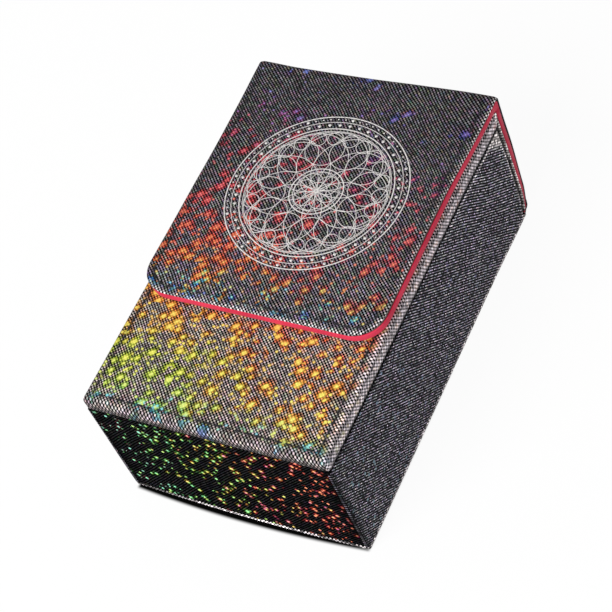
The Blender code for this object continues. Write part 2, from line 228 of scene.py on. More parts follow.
@dataclass(frozen=True)
class HolographicLeather:
    """Polyurethane leather embossed with a staggered dot weave over rainbow foil.

    To the eye it is black with fine silver-grey dots, and clusters of dots glint in pure hues that
    change in bands across a panel; these glints are painted into the colour, fixed on the surface.
    In the bands, an amount is how densely the clusters stand at the left and at the right, and for
    the core how bright the dots that don't glint are. Stored amounts paint a highlight where folds
    and edges catch the light, and shade where the leather turns from it or sinks into a seam. A
    name that ends in per_mm is a noise's scale, so that its features are about one over it across.
    """

    name: str
    gap: str
    dot: str
    # The dots' colour where the painted highlight lies in full.
    painted_highlight_dot: str
    run: Run
    left: tuple[Stop, ...]
    right: tuple[Stop, ...]
    core: tuple[Stop, ...]
    gloss: float = 0.02
    waver_mm: float = 14.0
    scatter_mm: float = 4.0
    specks: float = 0.05
    ridge: float = 0.70
    # Where the painted highlight lies in full, the ridges' share and the dots' mask change to these.
    painted_highlight_ridge: float = 0.52
    mask: Span = (-0.12, 0.60)
    painted_highlight_mask: Span = (-0.45, 0.35)
    # The dots' step across the cloth. The real weave may be finer: it is drawn as coarse as it has
    # to be to show, which is also how coarse the photograph shows it.
    cell_mm: float = 1.2
    net_long_mm: float = 4.6
    net_wide_mm: float = 3.4
    spot: Span = (0.12, 0.44)
    cluster_edge: Span = (1.10, 0.35)
    halo_edge: Span = (2.2, 0.8)
    ragged: float = 0.12
    drift_mm: float = 2.4
    drift_per_mm: float = 0.045
    bend_per_mm: float = 0.11
    slant_mm: float = 60.0
    middle_mm: Span = (-18.0, 14.0)
    crowd_per_mm: float = 0.10
    crowd: Span = (0.45, 1.55)
    tint: float = 0.40
    halo: float = 0.6
    fill: float = 1.0
    shade: Span = (0.45, 1.60)
    streak: float = 0.15
    # The near-black that the painted shade darkens towards.
    painted_shade_colour: str = "050506"
    roughness: float = 0.42
    emboss: float = 0.35
    emboss_depth: float = 0.06 * MM
    dot_seed: float = 0.37
    ridge_seed: float = 4.1
    ridge_apart: float = 0.83
    ridge_stretch: float = 0.45

    def make(self) -> bpy.types.Material:
        """Builds the node material.

        Returns:
            The material.
        """
        material, tree = new_tree(self.name)
        cloth = add(tree, "UVMap", uv_map=CLOTH_UV)
        # Stored amounts that paint light into the colour: a highlight where folds and edges catch the
        # light, and shade where the leather turns from it or sinks into a seam.
        painted_highlight = add(tree, "Attribute", attribute_name=PAINTED_HIGHLIGHT).outputs["Fac"]
        painted_shade = add(tree, "Attribute", attribute_name=PAINTED_SHADE).outputs["Fac"]
        # The weave wanders a little, as cloth under a coating does.
        drift = add(tree, "TexNoise", cloth, self.drift_per_mm, 1.0).outputs["Color"]
        place = add(tree, "VectorMath", drift, (self.drift_mm,) * 3, cloth, operation="MULTIPLY_ADD")
        axes = add(tree, "SeparateXYZ", place)
        # Diagonal coordinates, in which the staggered dots stand on a square grid.
        both = [add(tree, "Math", *axes.outputs[:2], operation=way) for way in ("ADD", "SUBTRACT")]
        rise, fall = (add(tree, "Math", way, self.cell_mm, operation="DIVIDE") for way in both)
        height, dots = self.weave(tree, rise, fall, painted_highlight)
        near = [add(tree, "Math", way, operation="ROUND") for way in (rise, fall)]
        number = add(tree, "CombineXYZ", *near, self.dot_seed)
        cell = add(tree, "TexWhiteNoise", number, noise_dimensions="3D")
        # The foil's glints are painted into the colour, fixed on the surface.
        painted_glint = self.painted_glint(tree, cloth, (rise, fall), cell)
        ridges = (near[0], fall) if self.ridge > 0.5 else (near[1], rise)
        woven = self.woven(tree, ridges, dots, cell, painted_glint, painted_highlight)
        lit = self.lit(tree, woven, dots, painted_glint, painted_highlight)
        # The painted shade darkens the colour towards near-black.
        colour = add(tree, "Mix", painted_shade, lit, linear(self.painted_shade_colour), data_type="RGBA")
        bump = add(tree, "Bump", self.emboss, self.emboss_depth, named={"Height": height})
        surface = {
            "Base Color": colour,
            "Roughness": self.roughness,
            "Normal": bump,
            "Specular IOR Level": self.gloss,
        }
        add(tree, "OutputMaterial", add(tree, "BsdfPrincipled", named=surface))
        return material

    def weave(self, tree: Tree, rise: Node, fall: Node, painted_highlight: Socket) -> tuple[Node, Node]:
        """Draws the dots, which run together into ridges where the leather lies flat.

        Args:
            tree: the node tree.
            rise: the rising diagonal coordinate, in dots.
            fall: the falling diagonal coordinate, in dots.
            painted_highlight: how far the painted highlight lies on the dots, which also changes their
                shape.

        Returns:
            The surface's height and the dots' mask.
        """
        turns = [add(tree, "Math", way, math.tau, operation="MULTIPLY") for way in (rise, fall)]
        waves = [add(tree, "Math", turn, operation="COSINE") for turn in turns]
        share = add(tree, "MapRange", painted_highlight, 0.0, 1.0, self.ridge, self.painted_highlight_ridge)
        height = add(tree, "Mix", share, waves[1], waves[0], data_type="FLOAT")
        edges = [add(tree, "MapRange", painted_highlight, 0.0, 1.0, *ends) for ends in zip(self.mask, self.painted_highlight_mask)]
        return height, add(tree, "MapRange", height, *edges, interpolation_type="SMOOTHSTEP")

    def painted_glint(self, tree: Tree, cloth: Node, diagonals: tuple[Node, Node], cell: Node) -> PaintedGlint:
        """Places the foil's painted glints: spots of dots that glint in colour.

        Args:
            tree: the node tree.
            cloth: the cloth coordinates, in millimetres.
            diagonals: the rising and the falling diagonal coordinate, in dots.
            cell: the random numbers of each dot.

        Returns:
            The flashes' strength, halo and hues.
        """
        # A wandering net holds at most one spot in each mesh, drawn out along the rising diagonal.
        sizes = (self.net_long_mm, self.net_wide_mm)
        net = [
            add(tree, "Math", way, self.cell_mm / math.sqrt(2) / size, operation="MULTIPLY")
            for way, size in zip(diagonals, sizes)
        ]
        loose = {"Vector": add(tree, "CombineXYZ", *net), "Scale": 1.0, "Randomness": 0.9}
        spots = add(tree, "TexVoronoi", named=loose, voronoi_dimensions="2D")
        spot = add(tree, "SeparateColor", spots.outputs["Color"])
        pick = add(tree, "SeparateColor", cell.outputs["Color"])
        # The bands of hue waver in broad bends, and from spot to spot and dot to dot.
        axes = add(tree, "SeparateXYZ", cloth)
        main, cross = axes.outputs[self.run.value], axes.outputs[1 - self.run.value]
        bends = add(tree, "TexNoise", cloth, self.bend_per_mm, 3.0, 0.75)
        stray = add(tree, "Math", bends, 0.5, operation="SUBTRACT")
        bent = add(tree, "Math", stray, 2 * self.waver_mm, main, operation="MULTIPLY_ADD")
        chances = add(tree, "Math", spot.outputs[2], pick.outputs[2], operation="ADD")
        astray = add(tree, "Math", chances, self.scatter_mm, -self.scatter_mm, operation="MULTIPLY_ADD")
        phase = add(tree, "Math", bent, astray, operation="ADD")
        turned = add(tree, "Math", stray, self.slant_mm, cross, operation="MULTIPLY_ADD")
        side = add(tree, "MapRange", turned, *self.middle_mm, interpolation_type="SMOOTHSTEP")
        left, right, core = (hue_band(tree, phase, stops) for stops in (self.left, self.right, self.core))
        fringe = add(tree, "Mix", side, left, right, data_type="RGBA")
        density = add(tree, "Mix", side, left.outputs["Alpha"], right.outputs["Alpha"], data_type="FLOAT")
        # The density is the share of the meshes that hold a spot, and the spots crowd in places.
        crowds = add(tree, "TexNoise", cloth, self.crowd_per_mm, 1.0)
        crowd = add(tree, "MapRange", crowds, 0.36, 0.64, *self.crowd)
        chance = add(tree, "Math", density, crowd, operation="MULTIPLY")
        held = add(tree, "Math", spot.outputs[0], chance, operation="LESS_THAN")
        reach = add(tree, "MapRange", spot.outputs[1], 0.0, 1.0, *self.spot)
        ragged = add(tree, "Math", cell, self.ragged, spots.outputs["Distance"], operation="MULTIPLY_ADD")
        away = add(tree, "Math", ragged, reach, operation="DIVIDE")
        inner, outer = (
            add(tree, "MapRange", away, far, close, interpolation_type="SMOOTHSTEP")
            for far, close in (self.cluster_edge, self.halo_edge)
        )
        cluster, near = (add(tree, "Math", part, held, operation="MULTIPLY") for part in (inner, outer))
        rare = add(tree, "Math", density, -2 * self.specks, 1.0, operation="MULTIPLY_ADD")
        single = add(tree, "Math", pick.outputs[0], rare, operation="GREATER_THAN")
        power = add(tree, "Math", pick.outputs[1], 0.7, 0.3, operation="MULTIPLY_ADD")
        speck = add(tree, "Math", single, power, operation="MULTIPLY")
        strength = add(tree, "Math", cluster, speck, operation="MAXIMUM")
        return PaintedGlint(strength, near, fringe, core.outputs["Color"], core.outputs["Alpha"])

    def woven(
        self, tree: Tree, ridges: tuple[Node, Node], dots: Node, cell: Node, painted_glint: PaintedGlint, painted_highlight: Socket
    ) -> Node:
        """Colours the dots that don't glint, paler where the painted highlight lies.

        Args:
            tree: the node tree.
            ridges: each ridge's number, and the place along it in dots.
            dots: the dots' mask.
            cell: the random numbers of each dot.
            painted_glint: the painted glints, whose halo tints the dots near them.
            painted_highlight: how far the painted highlight lies on the dots.

        Returns:
            The colour of ground and dots.
        """
        # Each ridge takes faint tints of its own from the foil.
        line = add(tree, "Math", ridges[0], self.ridge_apart, operation="MULTIPLY")
        along = add(tree, "Math", ridges[1], self.ridge_stretch, operation="MULTIPLY")
        stretches = add(tree, "TexNoise", add(tree, "CombineXYZ", line, along, self.ridge_seed), 1.0, 1.0)
        ridge = stretches.outputs["Color"]
        spread = add(
            tree, "VectorMath", ridge, (3.0, 3.0, 3.0), (-0.5, -0.5, -0.5), operation="MULTIPLY_ADD"
        )
        tint = add(tree, "Mix", self.tint, WHITE, spread, data_type="RGBA")
        resting = add(tree, "VectorMath", linear(self.dot)[:3], painted_glint.level, operation="SCALE")
        tinted = add(tree, "VectorMath", resting, tint, operation="MULTIPLY")
        glow = add(tree, "Math", painted_glint.halo, self.halo, operation="MULTIPLY")
        haloed = add(tree, "Mix", glow, tinted, painted_glint.fringe, data_type="RGBA")
        # The painted highlight turns the dots towards a paler silver.
        toned = add(tree, "Mix", painted_highlight, haloed, linear(self.painted_highlight_dot), data_type="RGBA")
        shade = add(tree, "MapRange", cell, 0.0, 1.0, *self.shade)
        wear = add(tree, "MapRange", stretches, 0.35, 0.65, 1 - self.streak, 1 + self.streak)
        uneven = add(tree, "Math", shade, wear, operation="MULTIPLY")
        shaded = add(tree, "VectorMath", toned, uneven, operation="SCALE")
        return add(tree, "Mix", dots, linear(self.gap), shaded, data_type="RGBA")

    def lit(self, tree: Tree, woven: Node, dots: Node, painted_glint: PaintedGlint, painted_highlight: Socket) -> Node:
        """Lays the painted glints over the weave: a pale core on each dot, a deep hue round it.

        Args:
            tree: the node tree.
            woven: the colour of ground and dots.
            dots: the dots' mask.
            painted_glint: the painted glints.
            painted_highlight: how far the painted highlight lies, which mutes the glints.

        Returns:
            The base colour.
        """
        heat = add(tree, "Math", painted_glint.strength, 1.2, operation="POWER")
        glow = add(tree, "Math", heat, 0.50 * self.fill, 0.35 * self.fill, operation="MULTIPLY_ADD")
        cover = add(tree, "Math", dots, glow, operation="MAXIMUM")
        centre = add(tree, "Math", heat, cover, operation="MULTIPLY")
        hue = add(tree, "Mix", centre, painted_glint.fringe, painted_glint.core, data_type="RGBA")
        # The glints are muted where the painted highlight lies.
        calm = add(tree, "MapRange", painted_highlight, 0.0, 0.12, 1.0, 0.20)
        shown = add(tree, "Math", painted_glint.strength, cover, operation="MULTIPLY")
        kept = add(tree, "Math", shown, calm, operation="MULTIPLY")
        return add(tree, "Mix", kept, woven, hue, data_type="RGBA")


@dataclass(frozen=True)
class Microfibre:
    """Brushed polyester microfibre, dyed red: a soft nap with faint mottling."""

    name: str = "red_microfibre"
    base: str = "dc3a56"
    deep: str = "ba2440"
    fibre_mm: float = 0.35
    patch_mm: float = 9.0
    nap: float = 0.08 * MM

    def make(self) -> bpy.types.Material:
        """Builds the node material.

        Returns:
            The material.
        """
        material, tree = new_tree(self.name)
        place = add(tree, "TexCoord").outputs["Object"]
        nap = add(tree, "TexNoise", place, 1 / (self.fibre_mm * MM), 3.0)
        patch = add(tree, "TexNoise", place, 1 / (self.patch_mm * MM), 2.0)
        tone = add(tree, "MapRange", add(tree, "Math", nap, patch, operation="ADD"), 0.75, 1.25)
        colour = add(tree, "Mix", tone, linear(self.deep), linear(self.base), data_type="RGBA")
        bump = add(tree, "Bump", 0.5, self.nap, named={"Height": nap})
        surface = {
            "Base Color": colour,
            "Roughness": 0.85,
            "Normal": bump,
            "Specular IOR Level": 0.2,
            "Sheen Weight": 0.10,
            "Sheen Roughness": 0.4,
        }
        add(tree, "OutputMaterial", add(tree, "BsdfPrincipled", named=surface))
        return material


@dataclass(frozen=True)
class GreyBoard:
    """Binder's board pressed from waste paper: grey, with pale and dark fibres."""

    name: str = "grey_board"
    base: str = "9a968e"
    fleck: str = "716d66"
    fleck_mm: float = 0.5
    grain: float = 0.05 * MM

    def make(self) -> bpy.types.Material:
        """Builds the node material.

        Returns:
            The material.
        """
        material, tree = new_tree(self.name)
        place = add(tree, "TexCoord").outputs["Object"]
        fibre = add(tree, "TexNoise", place, 1 / (self.fleck_mm * MM), 4.0)
        tone = add(tree, "MapRange", fibre, 0.40, 0.62)
        colour = add(tree, "Mix", tone, linear(self.base), linear(self.fleck), data_type="RGBA")
        bump = add(tree, "Bump", 0.4, self.grain, named={"Height": fibre})
        surface = {"Base Color": colour, "Roughness": 0.92, "Normal": bump}
        add(tree, "OutputMaterial", add(tree, "BsdfPrincipled", named=surface))
        return material


@dataclass(frozen=True)
class NickelPlate:
    """Nickel plating on a sintered magnet: a bright, faintly brushed metal."""

    name: str = "nickel_plate"
    base: str = "c9c6c0"
    # Scratches per metre along X, Y and Z: they run across Y, where they lie closest.
    scratches: Point = (900.0, 9000.0, 900.0)

    def make(self) -> bpy.types.Material:
        """Builds the node material.

        Returns:
            The material.
        """
        material, tree = new_tree(self.name)
        place = add(tree, "TexCoord").outputs["Object"]
        stretch = add(tree, "Mapping", place, named={"Scale": self.scratches})
        rough = add(tree, "MapRange", add(tree, "TexNoise", stretch, 1.0, 2.0), 0.0, 1.0, 0.22, 0.38)
        surface = {"Base Color": linear(self.base), "Metallic": 1.0, "Roughness": rough}
        add(tree, "OutputMaterial", add(tree, "BsdfPrincipled", named=surface))
        return material


@dataclass(frozen=True)
class SewingThread:
    """Bonded polyester thread: black, with the twist showing as fine slanted ridges."""

    name: str = "black_thread"
    base: str = "0c0c0e"
    ridge: str = "26262a"
    twist_mm: float = 0.35
    groove: float = 0.04 * MM

    def make(self) -> bpy.types.Material:
        """Builds the node material.

        Returns:
            The material.
        """
        material, tree = new_tree(self.name)
        place = add(tree, "TexCoord").outputs["Object"]
        scale = 1 / (self.twist_mm * MM * math.tau)
        twist = add(tree, "TexWave", place, scale, 0.6, bands_direction="DIAGONAL").outputs["Fac"]
        colour = add(tree, "Mix", twist, linear(self.base), linear(self.ridge), data_type="RGBA")
        bump = add(tree, "Bump", 0.5, self.groove, named={"Height": twist})
        surface = {"Base Color": colour, "Roughness": 0.6, "Normal": bump, "Specular IOR Level": 0.2}
        add(tree, "OutputMaterial", add(tree, "BsdfPrincipled", named=surface))
        return material


@dataclass(frozen=True)
class FoilPrint:
    """Hot-stamped silver foil: pale lines whose tone breaks up over the leather's grain."""

    name: str = "silver_foil_print"
    base: str = "e4e0de"
    worn: str = "aaa6a6"
    grain_mm: float = 0.6

    def make(self) -> bpy.types.Material:
        """Builds the node material.

        Returns:
            The material.
        """
        material, tree = new_tree(self.name)
        place = add(tree, "TexCoord").outputs["Object"]
        grain = add(tree, "TexNoise", place, 1 / (self.grain_mm * MM), 2.0)
        tone = add(tree, "MapRange", grain, 0.50, 0.72)
        colour = add(tree, "Mix", tone, linear(self.base), linear(self.worn), data_type="RGBA")
        rough = add(tree, "MapRange", grain, 0.0, 1.0, 0.30, 0.50)
        surface = {"Base Color": colour, "Roughness": rough, "Specular IOR Level": 0.5}
        add(tree, "OutputMaterial", add(tree, "BsdfPrincipled", named=surface))
        return material


LID_LEATHER = HolographicLeather(
    name="holographic_leather_lid",
    gap="050506",
    dot="c4bcc4",
    painted_highlight_dot="f0eaea",
    run=Run.ALONG_HEIGHT,
    left=(
        (-27.0, "2838d0", 0.30), (-24.0, "2078c8", 0.60), (-22.0, "2898a8", 0.52),
        (-19.5, "d08c18", 0.56), (-16.0, "fc6c24", 1.0), (-6.0, "f45034", 0.98),
        (6.0, "dc3c3c", 0.64), (20.0, "c83440", 0.52), (38.0, "a83044", 0.42),
        (46.0, "704070", 0.20), (52.0, "2c6058", 0.10), (57.0, "4838a0", 0.08),
        (62.0, "806028", 0.07), (67.0, "2850a0", 0.07), (75.0, "603080", 0.07),
    ),
    right=(
        (-27.0, "6038b0", 0.26), (-24.0, "3080b0", 0.46), (-22.0, "3090a0", 0.42),
        (-19.0, "a04828", 0.26), (-10.0, "cc4450", 0.42), (6.0, "c84054", 0.38),
        (22.0, "a03850", 0.32), (34.0, "604080", 0.18), (42.0, "286858", 0.10),
        (50.0, "4840a0", 0.08), (57.0, "885028", 0.07), (64.0, "2c50a0", 0.07),
        (75.0, "603080", 0.07),
    ),
    core=(
        (-27.0, "a0b0ff", 0.62), (-24.0, "a0f0ff", 0.60), (-22.0, "c0ffc0", 0.56),
        (-19.0, "fff488", 0.54), (-14.0, "ffc878", 0.53), (-4.0, "ff9c74", 0.51),
        (14.0, "ff8484", 0.46), (34.0, "f07888", 0.38), (46.0, "a888d8", 0.34),
        (62.0, "90a0e8", 0.33), (75.0, "9090e0", 0.31),
    ),
    waver_mm=7.0,
    scatter_mm=7.0,
    ridge=0.63,
    painted_highlight_mask=(-0.15, 0.45),
    net_long_mm=4.2,
    net_wide_mm=2.9,
    spot=(0.14, 0.55),
    halo=0.80,
    fill=0.65,
)

FRONT_LEATHER = HolographicLeather(
    name="holographic_leather_front",
    gap="0b0909",
    dot="c8bab5",
    painted_highlight_dot="fff3fa",
    run=Run.ALONG_HEIGHT,
    left=(
        (-68.0, "3858c0", 0.08), (-64.5, "2080c0", 0.17), (-62.4, "28b0b0", 0.52),
        (-60.0, "78c044", 0.64), (-55.0, "a8c820", 0.74), (-44.0, "b8cc18", 0.86),
        (-36.0, "e89410", 0.84), (-20.0, "e87010", 0.70), (60.0, "a02020", 0.35),
    ),
    right=(
        (-68.0, "4868c0", 0.08), (-64.5, "3888c0", 0.17), (-62.4, "40a8b0", 0.50),
        (-60.4, "b0b030", 0.70), (-54.0, "f09010", 0.84), (-34.0, "ec5c14", 0.86),
        (-20.0, "d84018", 0.76), (60.0, "a02020", 0.35),
    ),
    core=(
        (-68.0, "a0c0ff", 1.0), (-63.0, "a0f8f8", 1.0), (-59.5, "ecfc90", 1.0),
        (-48.0, "fcf878", 1.0), (-34.0, "ffec74", 1.0), (-20.0, "ffd868", 0.90),
        (60.0, "ff8060", 0.40),
    ),
    waver_mm=10.0,
    ridge=0.57,
    painted_highlight_mask=(-0.32, 0.34),
    specks=0.09,
    net_long_mm=4.9,
    net_wide_mm=3.6,
    spot=(0.16, 0.52),
    tint=0.25,
    halo=0.85,
)

SIDE_LEATHER = HolographicLeather(
    name="holographic_leather_side",
    gap="040406",
    dot="e6e0f2",
    painted_highlight_dot="fff6f4",
    run=Run.ALONG_HEIGHT,
    left=((-75.0, "608090", 0.24), (0.0, "705080", 0.18), (75.0, "505090", 0.16)),
    right=((-75.0, "408070", 0.28), (0.0, "404870", 0.18), (75.0, "604060", 0.14)),
    core=((-75.0, "a0c0c8", 0.76), (0.0, "9098c0", 0.92), (75.0, "9080b0", 1.06)),
    gloss=0.01,
    drift_mm=0.9,
    ridge=0.29,
    mask=(0.32, 0.98),
    painted_highlight_mask=(-0.55, 0.35),
    shade=(0.15, 2.10),
    streak=0.45,
    spot=(0.05, 0.15),
    tint=0.22,
    halo=0.3,
)

# The lower end's leather is the same leather with its shade painted in: near-black dots and ground, as the
# end faces away from the light. Its glints are painted too.
BOTTOM_LEATHER_IN_PAINTED_SHADE = HolographicLeather(
    name="holographic_leather_bottom_painted_shade",
    gap="010101",
    dot="202022",
    painted_highlight_dot="8a8688",
    run=Run.ALONG_WIDTH,
    left=(
        (-42.0, "108858", 0.50), (-22.0, "109030", 0.56), (-8.0, "48a018", 0.52),
        (4.0, "b07010", 0.46), (16.0, "a01060", 0.42), (28.0, "d04008", 0.46),
        (42.0, "b01030", 0.40),
    ),
    right=(
        (-42.0, "801030", 0.38), (-28.0, "108848", 0.50), (-10.0, "58a010", 0.50),
        (6.0, "c06008", 0.46), (20.0, "b01058", 0.44), (32.0, "e04808", 0.48),
        (42.0, "c01038", 0.40),
    ),
    core=(
        (-42.0, "a0ffe0", 1.0), (-22.0, "a8ffa8", 1.0), (-6.0, "e8ff90", 1.0),
        (9.0, "ffec80", 1.0), (17.0, "f880c0", 1.0), (26.0, "ffb080", 1.0),
        (42.0, "ff9c78", 1.0),
    ),
    gloss=0.0,
    waver_mm=20.0,
    scatter_mm=30.0,
    ridge=0.30,
    specks=0.03,
    net_long_mm=2.6,
    net_wide_mm=2.6,
    spot=(0.14, 0.44),
    halo=0.30,
)


# Shaping


def smooth_step(value: float, low: float, high: float) -> float:
    """Eases from 0 at low to 1 at high."""
    share = min(max((value - low) / (high - low), 0.0), 1.0)
    return share * share * (3 - 2 * share)


def hump(value: float, width: float) -> float:
    """A bell that is 1 at 0 and fades over the given width."""
    return math.exp(-((value / width) ** 2))


def ripple(point: Vector, size: float, height: float) -> float:
    """A gentle unevenness, the same at each run."""
    return noise.noise(Vector(point) / size) * height


def slab(low: Sequence[float], high: Sequence[float]) -> Mesh:
    """A block between two corners.

    Args:
        low: the lowest corner.
        high: the highest corner.

    Returns:
        A new bmesh.
    """
    work = bmesh.new()
    bmesh.ops.create_cube(work, size=1.0)
    bmesh.ops.scale(work, vec=Vector(high) - Vector(low), verts=work.verts)
    bmesh.ops.translate(work, vec=(Vector(high) + Vector(low)) / 2, verts=work.verts)
    return work


def bevel(work: Mesh, chosen: list, radius: float, segments: int, affect: str = "EDGES") -> None:
    """Rounds edges, or the corners of a flat face.

    Args:
        work: the mesh.
        chosen: its edges or vertices.
        radius: the rounding's radius.
        segments: the rounding's steps.
        affect: EDGES or VERTICES.
    """
    bmesh.ops.bevel(
        work, geom=chosen, offset=radius, segments=segments, profile=0.5, affect=affect, material=-1
    )


def extrude(work: Mesh, way: Point) -> None:
    """Draws a flat face out into a closed block.

    Args:
        work: the mesh, which holds the one face.
        way: how far the copy of the face goes.
    """
    grown = bmesh.ops.extrude_face_region(work, geom=work.faces[:])
    moved = [item for item in grown["geom"] if isinstance(item, bmesh.types.BMVert)]
    bmesh.ops.translate(work, vec=way, verts=moved)
    bmesh.ops.recalc_face_normals(work, faces=work.faces)


def round_edges(
    work: Mesh, meetings: Iterable[tuple[Vector, Vector]], radius: float, segments: int
) -> None:
    """Rounds the edges where two flat faces meet.

    Args:
        work: the mesh.
        meetings: pairs of directions in which the two faces look.
        radius: the rounding's radius.
        segments: the rounding's steps.
    """
    work.normal_update()
    chosen = []
    for edge in work.edges:
        normals = [face.normal for face in edge.link_faces]
        for pair in meetings:
            if all(any(normal.dot(way) > SAME_WAY for normal in normals) for way in pair):
                chosen.append(edge)
                break
    bevel(work, chosen, radius, segments)


def drop_faces(work: Mesh, *directions: Vector) -> None:
    """Deletes flat faces.

    Args:
        work: the mesh.
        directions: the directions in which the faces to delete look.
    """
    work.normal_update()
    gone = [face for face in work.faces if any(face.normal.dot(way) > SAME_WAY for way in directions)]
    bmesh.ops.delete(work, geom=gone, context="FACES")


def slice_along(work: Mesh, axis: int, places: Iterable[float]) -> None:
    """Cuts new edge lines across a mesh.

    Args:
        work: the mesh.
        axis: 0, 1 or 2 for X, Y or Z.
        places: where the cuts lie on that axis.
    """
    for place in places:
        point, normal = Vector((0, 0, 0)), Vector((0, 0, 0))
        point[axis], normal[axis] = place, 1
        geometry = [*work.verts, *work.edges, *work.faces]
        bmesh.ops.bisect_plane(work, geom=geometry, dist=1e-7, plane_co=point, plane_no=normal)


def even_places(low: float, high: float, step: float) -> list[float]:
    """Places spread evenly between two ends, ends left out."""
    count = max(round((high - low) / step), 1)
    return [low + (high - low) * index / count for index in range(1, count)]


@dataclass
class Wrap:
    """How leather unfolds from round a box: its front face flat, its sides swung out level."""

    half: float
    low: float
    top: float
    radius: float
    facing: int = 1
    stretch: float = 1.0
    lower_stretch: float = 1.0

    def run(self, over: float, drop: float, stretch: float) -> float:
        """The way travelled round a rounded edge and down the far side.

        Args:
            over: the distance past the rounding's start, across the front.
            drop: the distance below the front face.
            stretch: how far the leather is drawn out.

        Returns:
            The length of the way on the unstretched leather, or 0 before the rounding.
        """
        if over <= 0:
            return 0.0
        below = drop - self.radius
        if below <= 0:
            return self.radius * math.atan2(over, -below) / stretch
        return (self.radius * math.pi / 2 + below) / stretch

    def place(self, point: Vector, normal: Vector) -> tuple[float, float]:
        """Where a point lies on the unfolded leather, in millimetres.

        Args:
            point: a point of the surface.
            normal: the face's normal there.

        Returns:
            The place across and along.
        """
        drop = (self.top - point.z) * self.facing
        flat = self.half - self.radius
        side = self.run(abs(point.x) - flat, drop, self.stretch)
        down = self.run(self.low + self.radius - point.y, drop, self.lower_stretch)
        if side > 0 and abs(normal.x) >= abs(normal.y):
            return math.copysign(flat + side, point.x) / MM, point.y / MM
        if down > 0:
            return point.x / MM, (self.low + self.radius - down) / MM
        return point.x / MM, point.y / MM


def map_cloth(work: Mesh, place: Callable[[Vector, Vector], tuple[float, float]]) -> None:
    """Gives a mesh its cloth coordinates.

    Args:
        work: the mesh.
        place: turns a point and a face normal into millimetres on the cloth.
    """
    work.normal_update()
    layer = work.loops.layers.uv.new(CLOTH_UV)
    for face in work.faces:
        for loop in face.loops:
            loop[layer].uv = place(loop.vert.co, face.normal)


def mark(work: Mesh, name: str, amount: Callable[[Vector], float]) -> None:
    """Stores a number on each vertex for the material to read.

    Args:
        work: the mesh.
        name: the attribute's name.
        amount: gives the number for a vertex's place.
    """
    layer = work.verts.layers.float.new(name)
    for vertex in work.verts:
        vertex[layer] = min(max(amount(vertex.co), 0.0), 1.0)


@dataclass(frozen=True)
class Softness:
    """How far the soft walls and the lid give way, and between which places they do."""

    wall_face: float = 40.7 * MM
    back_bulge: float = 0.5 * MM
    back_z: Span = (8 * MM, 44 * MM)
    mouth_bulge: float = 0.4 * MM
    mouth_y: Span = (34 * MM, 62 * MM)
    lid_x: Span = (24 * MM, 40 * MM)
    lid_y: Span = (28 * MM, 60 * MM)
    lid_left: float = 0.55 * MM
    lid_right: float = 0.95 * MM
    top_panel_y: Span = (61.5 * MM, 64 * MM)
    crown: float = 0.35 * MM
    crown_z: float = 28 * MM
    crown_width: float = 18 * MM
    drawn_in: float = 0.5 * MM
    drawn_in_z: Span = (36 * MM, 52 * MM)
    drawn_in_less: float = 0.6
    mouth_lean: float = 1.15 * MM
    lean_y: Span = (46 * MM, 61 * MM)
    lean_x: Span = (5 * MM, 40 * MM)
    lean_z: Span = (MM, 10 * MM)
    lean_upper_z: Span = (30 * MM, 50 * MM)
    lean_upper_less: float = 0.45
    lower_lean: float = 0.85 * MM
    lower_half: float = 40 * MM
    lower_y: Span = (-65 * MM, -56 * MM)
    lower_z: Span = (MM, 12 * MM)


SOFT = Softness()


def bulge(point: Vector) -> float:
    """How far the soft side walls stand out, most of all at the mouth and towards the back."""
    back = SOFT.back_bulge * (1 - smooth_step(point.z, *SOFT.back_z))
    return back + SOFT.mouth_bulge * smooth_step(point.y, *SOFT.mouth_y)


def spread_body(point: Vector, start: float) -> float:
    """The way outwards along X by which the bulging side walls carry a point of the body.

    Args:
        point: a point of the body.
        start: how far out the walls begin to move.

    Returns:
        The way, against X at the left.
    """
    return math.copysign(bulge(point) * smooth_step(abs(point.x), start, SOFT.wall_face), point.x)


def spread_lid(point: Vector) -> float:
    """How far the lid's ends stand out past its boards, most of all at the flap's upper end.

    Args:
        point: a point of the lid.

    Returns:
        The way along X, against it at the left.
    """
    outer = smooth_step(abs(point.x), *SOFT.lid_x)
    fold = smooth_step(point.y, *SOFT.lid_y)
    behind = smooth_step(point.y, *SOFT.top_panel_y)
    crown = SOFT.crown * hump(point.z - SOFT.crown_z, SOFT.crown_width) * behind
    if point.x < 0:
        return -outer * (fold * SOFT.lid_left + crown)
    upper = smooth_step(point.z, *SOFT.drawn_in_z)
    drawn_in = SOFT.drawn_in * behind * (1 - SOFT.drawn_in_less * upper)
    return outer * (fold * SOFT.lid_right + crown - drawn_in)


def lean(point: Vector) -> float:
    """How the ends give way along Y: mouth and lid out at their right, the lower end out at the back.

    Args:
        point: a point of the box.

    Returns:
        The way along Y.
    """
    right_end = smooth_step(point.y, *SOFT.lean_y) * smooth_step(point.x, *SOFT.lean_x)
    upper = smooth_step(point.z, *SOFT.lean_upper_z)
    level = smooth_step(point.z, *SOFT.lean_z) * (1 - SOFT.lean_upper_less * upper)
    middle = max(1 - (point.x / SOFT.lower_half) ** 2, 0.0)
    lower_end = (1 - smooth_step(point.y, *SOFT.lower_y)) * (1 - smooth_step(point.z, *SOFT.lower_z))
    return SOFT.mouth_lean * right_end * level - SOFT.lower_lean * middle * lower_end


def carry(
    work: Mesh, spread: Callable[[Vector], float], share: Callable[[Vector], float] = lambda point: 1.0
) -> None:
    """Moves a mesh as the soft walls carry it, outwards along X and along Y.

    Args:
        work: the mesh.
        spread: the way along X for a point.
        share: how much of the way along Y a point goes.
    """
    for vertex in work.verts:
        place = vertex.co.copy()
        vertex.co.x += spread(place)
        vertex.co.y += lean(place) * share(place)


